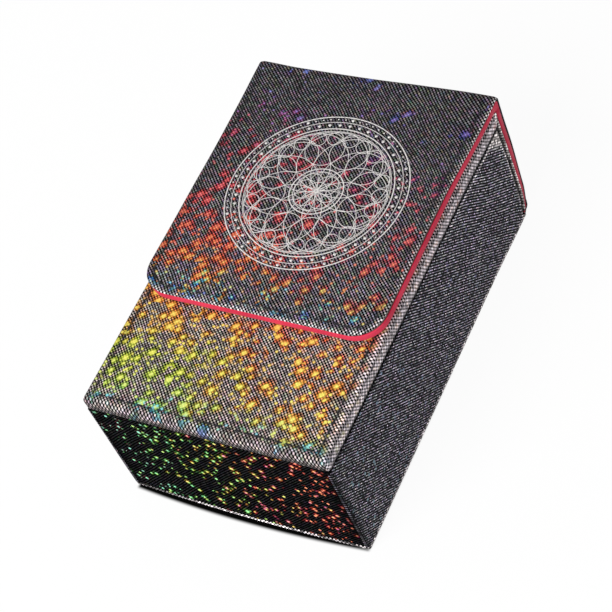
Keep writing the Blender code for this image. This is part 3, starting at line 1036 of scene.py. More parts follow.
def put(name: str, data: bpy.types.ID) -> bpy.types.Object:
    """Puts a new object into the scene, at the origin.

    Args:
        name: the object's name.
        data: its mesh, lamp or camera.

    Returns:
        The object.
    """
    thing = bpy.data.objects.new(name, data)
    bpy.context.scene.collection.objects.link(thing)
    return thing


def to_piece(work: Mesh, name: str, material: bpy.types.Material, slot: Slot) -> bpy.types.Object:
    """Turns a bmesh into a named piece at the origin.

    Args:
        work: the mesh, which is freed.
        name: the piece's name.
        material: its finish.
        slot: the record's material slot; not used.

    Returns:
        The object.
    """
    mesh = bpy.data.meshes.new(name)
    work.to_mesh(mesh)
    work.free()
    mesh.shade_smooth()
    mesh.set_sharp_from_angle(angle=math.radians(SHARP_DEG))
    mesh.materials.append(material)
    piece = put(name, mesh)
    LOG.info("%s: %d faces", name, len(mesh.polygons))
    return piece


def thicken(piece: bpy.types.Object, thickness: float) -> None:
    """Gives an open sheet its thickness, inwards from its outer face.

    Args:
        piece: the sheet.
        thickness: how thick it gets.
    """
    wall = piece.modifiers.new("thickness", "SOLIDIFY")
    wall.thickness = thickness
    wall.offset = -1
    wall.use_even_offset = True


@dataclass
class Finishes:
    """Every finish of the box, made once."""

    lid: bpy.types.Material = field(default_factory=LID_LEATHER.make)
    front: bpy.types.Material = field(default_factory=FRONT_LEATHER.make)
    side: bpy.types.Material = field(default_factory=SIDE_LEATHER.make)
    # The lower end's leather, with its shade painted in.
    bottom: bpy.types.Material = field(default_factory=BOTTOM_LEATHER_IN_PAINTED_SHADE.make)
    lining: bpy.types.Material = field(default_factory=Microfibre().make)
    board: bpy.types.Material = field(default_factory=GreyBoard().make)
    magnet: bpy.types.Material = field(default_factory=NickelPlate().make)
    thread: bpy.types.Material = field(default_factory=SewingThread().make)
    foil: bpy.types.Material = field(default_factory=FoilPrint().make)


# Sub-assemblies


@dataclass
class BodyCover:
    """The leather round the open box: front, back, sides, bottom and the bindings of the mouth."""

    finishes: Finishes
    skin: float = 0.8 * MM
    fold_radius: float = 1.4 * MM
    lower_radius: float = 2.3 * MM
    back_radius: float = 0.8 * MM
    stitch_inset: float = 3.1 * MM
    dip: float = 0.10 * MM
    valley: float = 1.35 * MM
    grid: float = 1.1 * MM
    back_grid: float = 2.2 * MM
    side_grid: float = 1.3 * MM
    bottom_grid: float = 1.5 * MM
    seam_grid: float = 0.3 * MM
    wrap_grid: float = 0.4 * MM
    binding_grid: float = 3.0 * MM
    panel_edge: float = 0.25 * MM
    under_edge: float = 0.6 * MM
    binding_radius: float = 0.5 * MM
    near_face: float = 0.3 * MM
    groove: float = 0.35 * MM
    wave: float = 0.12 * MM
    panel_wave: float = 0.10 * MM
    spread_from: float = 33.0 * MM
    binding_spread_from: float = 37.3 * MM

    def build(self) -> None:
        """Makes every piece of the cover."""
        self.front_cover()
        self.back_cover()
        for name, side in SIDES:
            self.side_panel(name, side)
            self.side_binding(name, side)
        self.bottom_panel()
        self.front_binding()

    def front_cover(self) -> None:
        """The front wall's leather, wrapped round both side edges and the bottom edge."""
        low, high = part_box("front_skin")
        half = high.x
        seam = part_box("bottom_skin")[1].z + 0.2 * MM
        work = slab(low, high)
        meetings = ((FRONT, LEFT), (FRONT, RIGHT), (FRONT, BOTTOM), (BOTTOM, LEFT), (BOTTOM, RIGHT))
        round_edges(work, meetings, self.fold_radius, 6)
        drop_faces(work, BACK, TOP)
        slice_along(work, 0, even_places(self.fold_radius - half, half - self.fold_radius, self.grid))
        slice_along(work, 1, even_places(low.y + self.fold_radius, high.y, self.grid))
        inset = self.stitch_inset
        for offset in (-0.45 * MM, 0.0, 0.45 * MM):
            slice_along(work, 0, (inset - half + offset, half - inset + offset))
            slice_along(work, 1, (low.y + inset + offset,))
        slice_along(work, 1, even_places(low.y + self.fold_radius, low.y + inset, self.seam_grid))
        slice_along(work, 2, (seam, *even_places(seam, high.z - self.fold_radius, self.wrap_grid)))
        gone = [
            face
            for face in work.faces
            if face.calc_center_median().z < seam and face.normal.dot(BOTTOM) > 0.8
        ]
        bmesh.ops.delete(work, geom=gone, context="FACES")
        map_cloth(work, Wrap(half, low.y, high.z, self.fold_radius, stretch=1.35, lower_stretch=1.8).place)
        mark(work, PAINTED_HIGHLIGHT, lambda p: self.front_painted_highlight(p, half, low.y, high.z))
        mark(work, PAINTED_SHADE, lambda p: self.front_painted_shade(p, half, low.y, high.z))
        for vertex in work.verts:
            self.soften(vertex, low.y, high.z)
            if vertex.co.z > high.z - self.near_face:
                reach = min(half - abs(vertex.co.x), vertex.co.y - low.y)
                sink = hump(reach - inset, 0.5 * MM) * self.dip
                vertex.co.z += ripple(vertex.co, 14 * MM, self.wave) - sink
        carry(work, lambda p: spread_body(p, self.spread_from))
        piece = to_piece(work, "front_cover", self.finishes.front, Slot.LEATHER)
        thicken(piece, self.skin)
        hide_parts("front_skin")
        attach(piece, Body.BOX.value)

    def soften(self, vertex: bmesh.types.BMVert, low: float, top: float) -> None:
        """Rounds the lower edge further, by drawing what lies outside the arc back onto it.

        Args:
            vertex: a vertex of the front cover.
            low: the body's lower end.
            top: the front face's height.
        """
        over = Vector((low + self.lower_radius - vertex.co.y, vertex.co.z - top + self.lower_radius))
        if min(over) > 0 and over.length > self.lower_radius:
            over *= self.lower_radius / over.length
            vertex.co.y = low + self.lower_radius - over.x
            vertex.co.z = top - self.lower_radius + over.y

    def front_painted_highlight(self, point: Vector, half: float, low: float, top: float) -> float:
        """The painted highlight: how far the dots are brightened to silver on the wraps and beside the
        right and lower edges, where these catch the light.

        Args:
            point: a point of the front cover.
            half: half the body's width.
            low: the body's lower end.
            top: the front face's height.

        Returns:
            0 on the open front, up to 1 on a wrap.
        """
        if abs(point.x) > half - 0.2 * MM:
            return 1.0
        inwards = half - point.x
        rim = 0.8 * (1 - smooth_step(inwards, 0.9 * MM, 1.9 * MM)) * smooth_step(point.y - low, 0.0, MM)
        strip = 0.12 * (1 - smooth_step(inwards, 2.4 * MM, 3.0 * MM))
        hem = 0.16 * smooth_step(top - point.z - (point.y - low), -2.0 * MM, -1.3 * MM)
        return max(rim, strip, hem)

    def front_painted_shade(self, point: Vector, half: float, low: float, top: float) -> float:
        """Painted shade: dark lines along the seams and the hem's edge, and the parts that turn from the
        light.

        Args:
            point: a point of the front cover.
            half: half the body's width.
            low: the body's lower end.
            top: the front face's height.

        Returns:
            0 where the leather shows in full, up to 1.
        """
        drop = top - point.z
        # The way over the lower edge: inwards on the front below 0, down the wrap above it.
        over = drop - (point.y - low)
        sewn_hem = 0.50 * hump(over + self.stitch_inset, 0.45 * MM)
        seams = max(sewn_hem, 0.25 * hump(over + 0.1 * MM, 0.55 * MM))
        hem = 0.16 * smooth_step(over, -2.9 * MM, -2.5 * MM) + seams
        # Painted shade on the wrap under the lower edge.
        under = 0.62 * smooth_step(over, 0.9 * MM, 3.4 * MM)
        if point.x > half - 0.6 * MM:
            turn = 0.75 * hump(drop - 1.0 * MM, 0.45 * MM)
            return max(turn, 0.75 * smooth_step(drop, 3.7 * MM, 5.0 * MM), hem)
        sewn = 0.45 * max(
            hump(half - point.x - 2.9 * MM, 0.55 * MM),
            hump(half + point.x - 2.6 * MM, 0.55 * MM),
        )
        # The left edge is darker: painted shade where it turns from the light.
        left = 0.40 * (1 - smooth_step(point.x + half, 0.3 * MM, 1.6 * MM))
        return max(hem + under, sewn, left)

    def back_cover(self) -> None:
        """The back wall's leather, with a narrow fold onto the sides and the bottom."""
        low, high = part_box("back_skin")
        work = slab(low, high)
        meetings = ((BACK, LEFT), (BACK, RIGHT), (BACK, BOTTOM), (BOTTOM, LEFT), (BOTTOM, RIGHT))
        round_edges(work, meetings, self.back_radius, 5)
        drop_faces(work, FRONT, TOP)
        inner = high.x - self.back_radius
        slice_along(work, 0, even_places(low.x + self.back_radius, inner, self.back_grid))
        slice_along(work, 1, even_places(low.y + self.back_radius, high.y, self.back_grid))
        map_cloth(work, Wrap(high.x, low.y, 0.0, self.back_radius, facing=-1).place)
        # Painted highlight along the fold at the lower end, where it catches the light.
        mark(work, PAINTED_HIGHLIGHT, lambda p: 0.8 * smooth_step(p.z, 0.2 * MM, 0.9 * MM))

        def painted_shade(point: Vector) -> float:
            """The fold under the lower end turns from the light towards its corners.

            Args:
                point: a point of the back cover.

            Returns:
                0 in full light, up to 1.
            """
            if point.y > low.y + MM:
                return 0.0
            left = smooth_step(point.x, -36 * MM, -4 * MM)
            right = smooth_step(point.x, 10 * MM, 38 * MM)
            return max(0.85 * (1 - left), 0.55 * right)

        mark(work, PAINTED_SHADE, painted_shade)
        carry(work, lambda p: spread_body(p, self.spread_from))
        piece = to_piece(work, "back_cover", self.finishes.side, Slot.LEATHER)
        thicken(piece, self.skin)
        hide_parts("back_skin")
        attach(piece, Body.BOX.value)

    def side_panel(self, name: str, side: int) -> None:
        """A side wall's leather, sunk along its seams.

        Args:
            name: left or right.
            side: -1 or 1.
        """
        low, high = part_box(f"{name}_skin")
        outward = RIGHT * side
        face_x = side * max(abs(low.x), abs(high.x))
        front_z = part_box("front_skin")[1].z
        work = slab(low, high)
        edge = self.panel_edge
        round_edges(work, ((outward, BOTTOM),), self.under_edge, 4)
        round_edges(work, [(outward, way) for way in (TOP, FRONT, BACK)], edge, 3)
        slice_along(work, 1, even_places(low.y + self.under_edge, high.y - edge, self.side_grid))
        slice_along(work, 2, even_places(low.z + edge, high.z - edge, self.side_grid))
        for offset in (0.5 * MM, 0.9 * MM, self.valley, 1.7 * MM, 2.1 * MM, 2.6 * MM):
            slice_along(work, 1, (high.y - offset,))
            slice_along(work, 2, (high.z - offset,))

        def seam_ways(point: Vector) -> tuple[float, float]:
            """The distances from the two sewn edges, the mouth's and the front's."""
            return high.y - point.y, high.z - point.z

        def painted_highlight(point: Vector) -> float:
            """Painted highlight beside the seam, most of all in its corner.

            Args:
                point: a point of the panel.

            Returns:
                0 on the open panel, up to 1.
            """
            mouth, front = seam_ways(point)
            upper = smooth_step(point.y, 5 * MM, 50 * MM)
            beside = max(hump(mouth - 1.0 * MM, 0.5 * MM), upper * hump(front - 1.9 * MM, 0.5 * MM))
            return max(0.9 * beside, 1 - smooth_step(mouth + 0.8 * front, 6.5 * MM, 11 * MM))

        def painted_shade(point: Vector) -> float:
            """Painted shade in the seam's groove, and on the lower edge that turns from the light.

            Args:
                point: a point of the panel.

            Returns:
                0 where the leather shows in full, up to 1.
            """
            mouth, front = seam_ways(point)
            grooves = (
                1 - smooth_step(mouth, 0.35 * MM, 0.75 * MM),
                1 - smooth_step(front, 0.9 * MM, self.valley + 0.1 * MM),
            )
            return max(*grooves, 0.75 * (1 - smooth_step(point.y - low.y, 0.2 * MM, 2.8 * MM)))

        map_cloth(work, lambda p, n: (side * (abs(face_x) + front_z - p.z) / MM, p.y / MM))
        mark(work, PAINTED_HIGHLIGHT, painted_highlight)
        mark(work, PAINTED_SHADE, painted_shade)
        for vertex in work.verts:
            if abs(vertex.co.x - face_x) < self.near_face:
                sink = self.groove * (1 - smooth_step(min(seam_ways(vertex.co)), 0.2 * MM, self.valley))
                vertex.co.x += side * (ripple(vertex.co, 12 * MM, self.panel_wave) - sink)
        carry(work, lambda p: side * bulge(p) if abs(p.x - face_x) < self.under_edge else 0.0)
        piece = to_piece(work, f"{name}_cover", self.finishes.side, Slot.LEATHER)
        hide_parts(f"{name}_skin")
        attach(piece, Body.BOX.value)

    def bottom_panel(self) -> None:
        """The leather of the plain lower end."""
        low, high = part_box("bottom_skin")
        work = slab(low, high)
        edge = self.panel_edge
        round_edges(work, [(BOTTOM, way) for way in (LEFT, RIGHT, FRONT, BACK)], edge, 3)
        slice_along(work, 0, even_places(low.x + edge, high.x - edge, self.bottom_grid))
        slice_along(work, 2, even_places(low.z + edge, high.z - edge, self.bottom_grid))
        map_cloth(work, lambda p, n: (p.x / MM, p.z / MM))
        # Painted shade towards the left and right edges, which turn from the light.
        mark(work, PAINTED_SHADE, lambda p: 0.7 * smooth_step(abs(p.x), 36.5 * MM, 39 * MM))
        for vertex in work.verts:
            if vertex.co.y < low.y + self.near_face:
                vertex.co.y += ripple(vertex.co, 12 * MM, self.panel_wave)
        carry(work, lambda p: 0.0)
        piece = to_piece(work, "bottom_cover", self.finishes.bottom, Slot.LEATHER)
        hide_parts("bottom_skin")
        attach(piece, Body.BOX.value)

    def front_binding(self) -> None:
        """The strip over the mouth's front edge."""
        low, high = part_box("front_binding")
        work = slab(low, high)
        meetings = ((FRONT, TOP), (LEFT, TOP), (RIGHT, TOP), (FRONT, LEFT), (FRONT, RIGHT))
        round_edges(work, meetings, self.binding_radius, 4)
        drop_faces(work, BACK, BOTTOM)
        slice_along(work, 0, even_places(low.x + MM, high.x - MM, self.binding_grid))

        def unfold(point: Vector, normal: Vector) -> tuple[float, float]:
            """Where a point lies on the strip: out over the edge and down the ends.

            Args:
                point: a point of the strip.
                normal: the face's normal there.

            Returns:
                The place across and along, in millimetres.
            """
            if abs(normal.x) > 0.7:
                return point.z / MM, point.y / MM
            if normal.y > 0.7:
                return point.x / MM, (high.y + high.z - point.z) / MM
            return point.x / MM, point.y / MM

        map_cloth(work, unfold)
        mark(work, PAINTED_HIGHLIGHT, lambda p: self.binding_painted_highlight(p, high.y))

        def share(point: Vector) -> float:
            """The outer side goes all the way, and the inner side stays on the wall."""
            return max(smooth_step(point.z, 47.5 * MM, 49.5 * MM), (point.y - low.y) / (high.y - low.y))

        carry(work, lambda p: spread_body(p, self.spread_from), share)
        piece = to_piece(work, "front_rim_binding", self.finishes.side, Slot.LEATHER)
        thicken(piece, self.skin)
        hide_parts("front_binding")
        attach(piece, Body.BOX.value)

    def binding_painted_highlight(self, point: Vector, mouth: float) -> float:
        """The painted highlight on a binding's dots: full outside, and slight on the face at the mouth."""
        return 1.0 if point.y < mouth - 0.4 * MM else 0.3

    def side_binding(self, name: str, side: int) -> None:
        """The strip over a side wall's edge at the mouth.

        Args:
            name: left or right.
            side: -1 or 1.
        """
        low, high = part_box(f"{name}_binding")
        outward = RIGHT * side
        work = slab(low, high)
        round_edges(work, ((outward, TOP),), self.binding_radius, 4)
        drop_faces(work, -outward, BOTTOM, FRONT, BACK)
        slice_along(work, 2, even_places(low.z, high.z, self.binding_grid))
        map_cloth(work, lambda p, n: (p.z / MM, p.y / MM) if abs(n.x) > 0.7 else (p.z / MM, p.x / MM))
        slice_along(work, 1, (61.2 * MM, 61.6 * MM))
        # Painted highlight on the binding, and painted shade on its edge next to the side panel.
        mark(work, PAINTED_HIGHLIGHT, lambda p: self.binding_painted_highlight(p, high.y))
        mark(work, PAINTED_SHADE, lambda p: 0.8 * (1 - smooth_step(p.y, 60.9 * MM, 61.4 * MM)))

        def share(point: Vector) -> float:
            """The outer side goes all the way, and the inner side stays on the wall."""
            return max(smooth_step(abs(point.x), 38.5 * MM, 40 * MM), (point.y - low.y) / (high.y - low.y))

        carry(work, lambda p: spread_body(p, self.binding_spread_from), share)
        piece = to_piece(work, f"{name}_rim_binding", self.finishes.side, Slot.LEATHER)
        thicken(piece, self.skin)
        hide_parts(f"{name}_binding")
        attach(piece, Body.BOX.value)


@dataclass
class Flat:
    """The lid's leather laid out flat: across is X, along is the height up the flap and over the fold."""

    half: float
    low: float
    corner: float
    fold_y: float
    fold_z: float
    radius: float
    rear: float

    @property
    def high(self) -> float:
        """The far end of the laid-out leather, behind the top panel."""
        return self.fold_y + self.radius * math.pi / 2 + (self.fold_z - self.rear)

    def border(self, across: float, along: float) -> float:
        """The distance from the left, right or lower edge, round corners included.

        Args:
            across: the place along X.
            along: the place up the flap.

        Returns:
            The distance, below 0 outside.
        """
        side, down = self.half - abs(across), along - self.low
        if side < self.corner and down < self.corner:
            return self.corner - math.hypot(self.corner - side, self.corner - down)
        return min(side, down)

    def folded(self, point: Vector) -> Vector:
        """Carries a point of the laid-out leather onto the lid.

        Args:
            point: across, along and the height over the leather's outer face.

        Returns:
            The point in the box's frame.
        """
        past = point.y - self.fold_y
        if past <= 0:
            return Vector((point.x, point.y, self.fold_z + self.radius + point.z))
        bend = self.radius * math.pi / 2
        reach = self.radius + point.z
        if past < bend:
            angle = past / self.radius
            y = self.fold_y + reach * math.sin(angle)
            z = self.fold_z + reach * math.cos(angle)
            return Vector((point.x, y, z))
        return Vector((point.x, self.fold_y + reach, self.fold_z - (past - bend)))


@dataclass
class LidCover:
    """The lid: leather over flap, fold and top panel, its red lining, and the hinge behind it."""

    finishes: Finishes
    skin: float = 0.8 * MM
    lining: float = 0.6 * MM
    lining_radius: float = 0.5 * MM
    lining_grid: float = 3.0 * MM
    board_grid: float = 4.0 * MM
    fold_grid: float = 0.35 * MM
    across_half: float = 36.0 * MM
    across_grid: float = 6.0 * MM
    fold_radius: float = 1.6 * MM
    corner: float = 9.5 * MM
    stitch_inset: float = 2.7 * MM
    dip: float = 0.16 * MM
    roll: float = 0.28 * MM
    grid: float = 1.0 * MM
    blend_span: float = 0.9 * MM
    set_over: float = 0.55 * MM

    def build(self) -> Flat:
        """Makes every piece of the lid.

        Returns:
            The laid-out leather, for what is sewn or printed on it.
        """
        flat = self.layout()
        self.leather(flat)
        self.flap_lining(flat)
        self.top_lining()
        self.top_board()
        self.fold_lining()
        self.rear_hinge()
        return flat

    def layout(self) -> Flat:
        """Works out the laid-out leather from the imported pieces.

        Returns:
            The laid-out leather.
        """
        flap_low, flap_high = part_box("flap_skin")
        top_low, top_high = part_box("lid_top_skin")
        return Flat(
            half=flap_high.x,
            low=flap_low.y,
            corner=self.corner,
            fold_y=top_high.y - self.fold_radius,
            fold_z=flap_high.z - self.fold_radius,
            radius=self.fold_radius,
            rear=top_low.z,
        )

    def outline(self, flat: Flat, high: float) -> Mesh:
        """A flat face with the flap's round lower corners.

        Args:
            flat: the laid-out leather.
            high: where the face ends.

        Returns:
            A new bmesh with one face that looks up.
        """
        work = bmesh.new()
        bmesh.ops.create_grid(work, x_segments=1, y_segments=1, size=0.5)
        bmesh.ops.scale(work, vec=(2 * flat.half, high - flat.low, 1), verts=work.verts)
        bmesh.ops.translate(work, vec=(0, (high + flat.low) / 2, 0), verts=work.verts)
        corners = [vertex for vertex in work.verts if vertex.co.y < flat.low + MM]
        bevel(work, corners, flat.corner, 14, "VERTICES")
        return work

    def relief(self, flat: Flat, point: Vector) -> float:
        """The height of the flap's leather: rolled edges, a dip at the seam, slight waves.

        Args:
            flat: the laid-out leather.
            point: a point of it.

        Returns:
            The height over the level leather.
        """
        border = flat.border(point.x, point.y)
        rolled = self.roll * (1 - smooth_step(border, 0.0, 0.7 * MM)) ** 2
        on_flap = point.y < flat.fold_y - 2 * MM
        sewn = hump(border - self.stitch_inset, 0.5 * MM) * self.dip if on_flap else 0.0
        # The upper left corner of the flap stands up a little.
        away = math.hypot(point.x + flat.half, point.y - flat.fold_y)
        corner = 0.45 * MM * (1 - smooth_step(away, 0.0, 13 * MM))
        return ripple(point, 15 * MM, 0.12 * MM) + corner - rolled - sewn

    def leather(self, flat: Flat) -> None:
        """One sheet over the flap, round the fold and across the top panel, glued slightly off centre.

        Args:
            flat: the laid-out leather.
        """
        work = self.outline(flat, flat.high)
        for ring in (0.18 * MM, 0.22 * MM, 0.35 * MM, 0.6 * MM):
            inner = max(work.faces, key=lambda face: face.calc_area())
            bmesh.ops.inset_region(work, faces=[inner], thickness=ring, use_even_offset=True)
        slice_along(work, 0, even_places(-flat.half, flat.half, self.grid))
        slice_along(work, 1, even_places(flat.low, flat.fold_y, self.grid))
        bend = flat.fold_y + flat.radius * math.pi / 2
        slice_along(work, 1, (flat.fold_y, *even_places(flat.fold_y, bend, 0.28 * MM), bend))
        slice_along(work, 1, even_places(bend, flat.high, 2 * self.grid))
        map_cloth(work, lambda p, n: (p.x / MM, p.y / MM))
        mark(work, PAINTED_HIGHLIGHT, lambda p: self.lid_painted_highlight(flat, p))
        mark(work, PAINTED_SHADE, lambda p: self.lid_painted_shade(flat, p))
        for vertex in work.verts:
            vertex.co.z += self.relief(flat, vertex.co)
            ends = smooth_step(abs(vertex.co.x), 28 * MM, 40 * MM)
            below = 1 - smooth_step(vertex.co.y, 18 * MM, 46 * MM)
            vertex.co.x -= self.set_over * ends * (below if vertex.co.x > 0 else 1.0)
        for vertex in work.verts:
            vertex.co = flat.folded(vertex.co)
            # The fold stands out a little, right of its middle.
            upper = smooth_step(vertex.co.z, 20 * MM, 50 * MM) * smooth_step(vertex.co.y, 60 * MM, 64 * MM)
            vertex.co.y += 0.65 * MM * upper * hump(vertex.co.x - 20 * MM, 24 * MM)
        carry(work, spread_lid)
        piece = to_piece(work, "lid_leather", self.finishes.lid, Slot.LEATHER)
        thicken(piece, self.skin)
        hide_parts("flap_skin", "front_fold_leather", "lid_top_skin")
        self.bend_at_fold(piece)

    def lid_painted_highlight(self, flat: Flat, point: Vector) -> float:
        """The painted highlight: how far the dots are brightened to silver at the flap's right and lower
        edges, where these catch the light.

        Args:
            flat: the laid-out leather.
            point: a point of it.

        Returns:
            0 on the open leather, up to 1.
        """
        border = flat.border(point.x, point.y)
        down = point.y - flat.low
        faces_light = smooth_step(point.x, -34 * MM, -26 * MM) if down > 3 * MM else 1.0
        on_flap = 1 - smooth_step(point.y, flat.fold_y, flat.fold_y + flat.radius)
        rim = (1 - smooth_step(border, 0.50 * MM, 0.95 * MM)) * faces_light
        hem = 0.12 * (1 - smooth_step(down, 1.8 * MM, 2.4 * MM))
        return max(rim, hem) * on_flap

    def lid_painted_shade(self, flat: Flat, point: Vector) -> float:
        """Painted shade: the darker left edge, which turns from the light, the seam strip and the ends of
        the top panel.

        Args:
            flat: the laid-out leather.
            point: a point of it.

        Returns:
            0 on the open leather, up to 1.
        """
        border = flat.border(point.x, point.y)
        turned = 0.40 * (1 - smooth_step(point.x + flat.half, 0.2 * MM, 1.6 * MM))
        behind = 0.8 * smooth_step(point.y, flat.fold_y + flat.radius, flat.fold_y + 2 * flat.radius)
        ends = behind * (1 - smooth_step(border, 0.8 * MM, 1.6 * MM))
        inset = self.stitch_inset if point.x > -28 * MM else 1.9 * MM
        strip = 0.35 * hump(border - inset, 0.55 * MM) if point.y < flat.fold_y - 3 * MM else 0.0
        rim = 0.30 * (1 - smooth_step(point.y - flat.low, 0.4 * MM, 1.0 * MM))
        return max(turned, ends, strip, rim)

    def bend_at_fold(self, piece: bpy.types.Object) -> None:
        """Bakes the transform of a piece that crosses the fold between the top panel and the flap into its
        mesh.

        Args:
            piece: the piece that crosses the fold.
        """
        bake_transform(piece)

    def flap_lining(self, flat: Flat) -> None:
        """The red lining under the flap, rolled up over the board's edges.

        Args:
            flat: the laid-out leather, whose outline the lining shares.
        """
        low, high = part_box("flap_lining")
        work = self.outline(flat, high.y)
        extrude(work, (0, 0, high.z - low.z))
        bmesh.ops.translate(work, vec=(0, 0, low.z), verts=work.verts)
        for height, radius in ((low.z, self.lining_radius), (high.z, 0.25 * MM)):
            rim = [
                edge
                for edge in work.edges
                if all(abs(vertex.co.z - height) < 0.01 * MM for vertex in edge.verts)
                and min(vertex.co.y for vertex in edge.verts) < high.y - 0.01 * MM
            ]
            bevel(work, rim, radius, 4)
        drop_faces(work, FRONT, TOP)
        slice_along(work, 0, even_places(-flat.half, flat.half, self.lining_grid))
        slice_along(work, 1, even_places(flat.low, high.y, self.lining_grid))
        carry(work, spread_lid)
        piece = to_piece(work, "flap_red_lining", self.finishes.lining, Slot.LINING)
        thicken(piece, self.lining)
        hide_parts("flap_lining")
        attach(piece, Body.FLAP.value)

    def top_lining(self) -> None:
        """The red lining under the lid's top panel, rolled over its two ends."""
        low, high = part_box("lid_top_lining")
        work = slab(low, high)
        round_edges(work, ((BOTTOM, LEFT), (BOTTOM, RIGHT)), self.lining_radius, 4)
        drop_faces(work, TOP, FRONT, BACK)
        slice_along(work, 0, even_places(-self.across_half, self.across_half, self.across_grid))
        slice_along(work, 2, even_places(low.z, high.z, self.lining_grid))
        carry(work, spread_lid)
        piece = to_piece(work, "top_red_lining", self.finishes.lining, Slot.LINING)
        thicken(piece, self.lining)
        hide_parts("lid_top_lining")
        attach(piece, Body.LID_TOP.value)

    def top_board(self) -> None:
        """The grey board inside the lid's top panel, carried along with its cover."""
        low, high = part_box("lid_top_board")
        work = slab(low, high)
        slice_along(work, 0, even_places(low.x, high.x, self.board_grid))
        slice_along(work, 2, even_places(low.z, high.z, self.board_grid))
        carry(work, spread_lid)
        piece = to_piece(work, "top_panel_board", self.finishes.board, Slot.BOARD)
        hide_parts("lid_top_board")
        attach(piece, Body.LID_TOP.value)

    def profile(
        self, points: Sequence[tuple[float, float]], rounded: dict[int, float], half: float
    ) -> Mesh:
        """A strip along X with the given outline.

        Args:
            points: the outline's corners, Y and Z.
            rounded: corner number to rounding radius.
            half: half the strip's length.

        Returns:
            A new closed bmesh.
        """
        work = bmesh.new()
        corners = [work.verts.new((-half, y, z)) for y, z in points]
        work.faces.new(corners)
        for index, radius in rounded.items():
            bevel(work, [corners[index]], radius, 6, "VERTICES")
        extrude(work, (2 * half, 0, 0))
        return work

    def fold_lining(self) -> None:
        """The red lining that fills the fold's inner corner."""
        top_low, top_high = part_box("lid_top_lining")
        flap_low, flap_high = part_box("flap_lining")
        outer_y, outer_z = top_high.y, flap_high.z
        points = (
            (flap_high.y, outer_z),
            (outer_y, outer_z),
            (outer_y, top_high.z),
            (top_low.y, top_high.z),
            (top_low.y, flap_low.z),
            (flap_high.y, flap_low.z),
        )
        work = self.profile(points, {1: 1.1 * MM, 4: 0.3 * MM}, top_high.x)
        slice_along(work, 1, even_places(flap_high.y, outer_y, self.fold_grid))
        slice_along(work, 2, even_places(top_high.z, outer_z, self.fold_grid))
        slice_along(work, 0, even_places(-self.across_half, self.across_half, self.across_grid))
        carry(work, spread_lid)
        piece = to_piece(work, "fold_red_lining", self.finishes.lining, Slot.LINING)
        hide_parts("front_fold_lining")
        self.bend_at_fold(piece)

    def rear_hinge(self) -> None:
        """The bent leather behind the mouth and the lining of its gutter."""
        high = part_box("rear_hinge_leather")[1]
        start_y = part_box("back_skin")[1].y
        end_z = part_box("lid_top_skin")[0].z
        thin = self.skin
        points = (
            (start_y, 0.0),
            (high.y, 0.0),
            (high.y, end_z),
            (high.y - thin, end_z),
            (high.y - thin, thin),
            (start_y, thin),
        )
        leather = self.profile(points, {1: 1.3 * MM, 4: 0.5 * MM}, high.x)
        gutter_low, gutter_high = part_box("rear_hinge_lining")
        near, deep = gutter_high.y, gutter_low.z
        soft = self.lining
        points = (
            (start_y, deep),
            (near, deep),
            (near, end_z),
            (near - soft, end_z),
            (near - soft, deep + soft),
            (start_y, deep + soft),
        )
        lining = self.profile(points, {1: 0.7 * MM, 4: 0.1 * MM}, gutter_high.x)
        jobs = (
            (leather, "rear_hinge_cover", self.finishes.side, Slot.LEATHER, "rear_hinge_leather"),
            (lining, "rear_gutter_lining", self.finishes.lining, Slot.LINING, "rear_hinge_lining"),
        )
        for work, name, material, slot, node in jobs:
            slice_along(work, 1, even_places(start_y, high.y, self.fold_grid))
            slice_along(work, 2, even_places(0.0, end_z, self.fold_grid))
            slice_along(work, 0, even_places(-self.across_half, self.across_half, self.board_grid))
            map_cloth(work, lambda p, n: (p.x / MM, (p.y + p.z) / MM))
            if slot is Slot.LEATHER:
                # Painted shade towards the ends.
                mark(work, PAINTED_SHADE, lambda p: 0.7 * smooth_step(abs(p.x), 38 * MM, 39.6 * MM))
            carry(work, spread_lid)
            piece = to_piece(work, name, material, slot)
            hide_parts(node)
            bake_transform(piece)


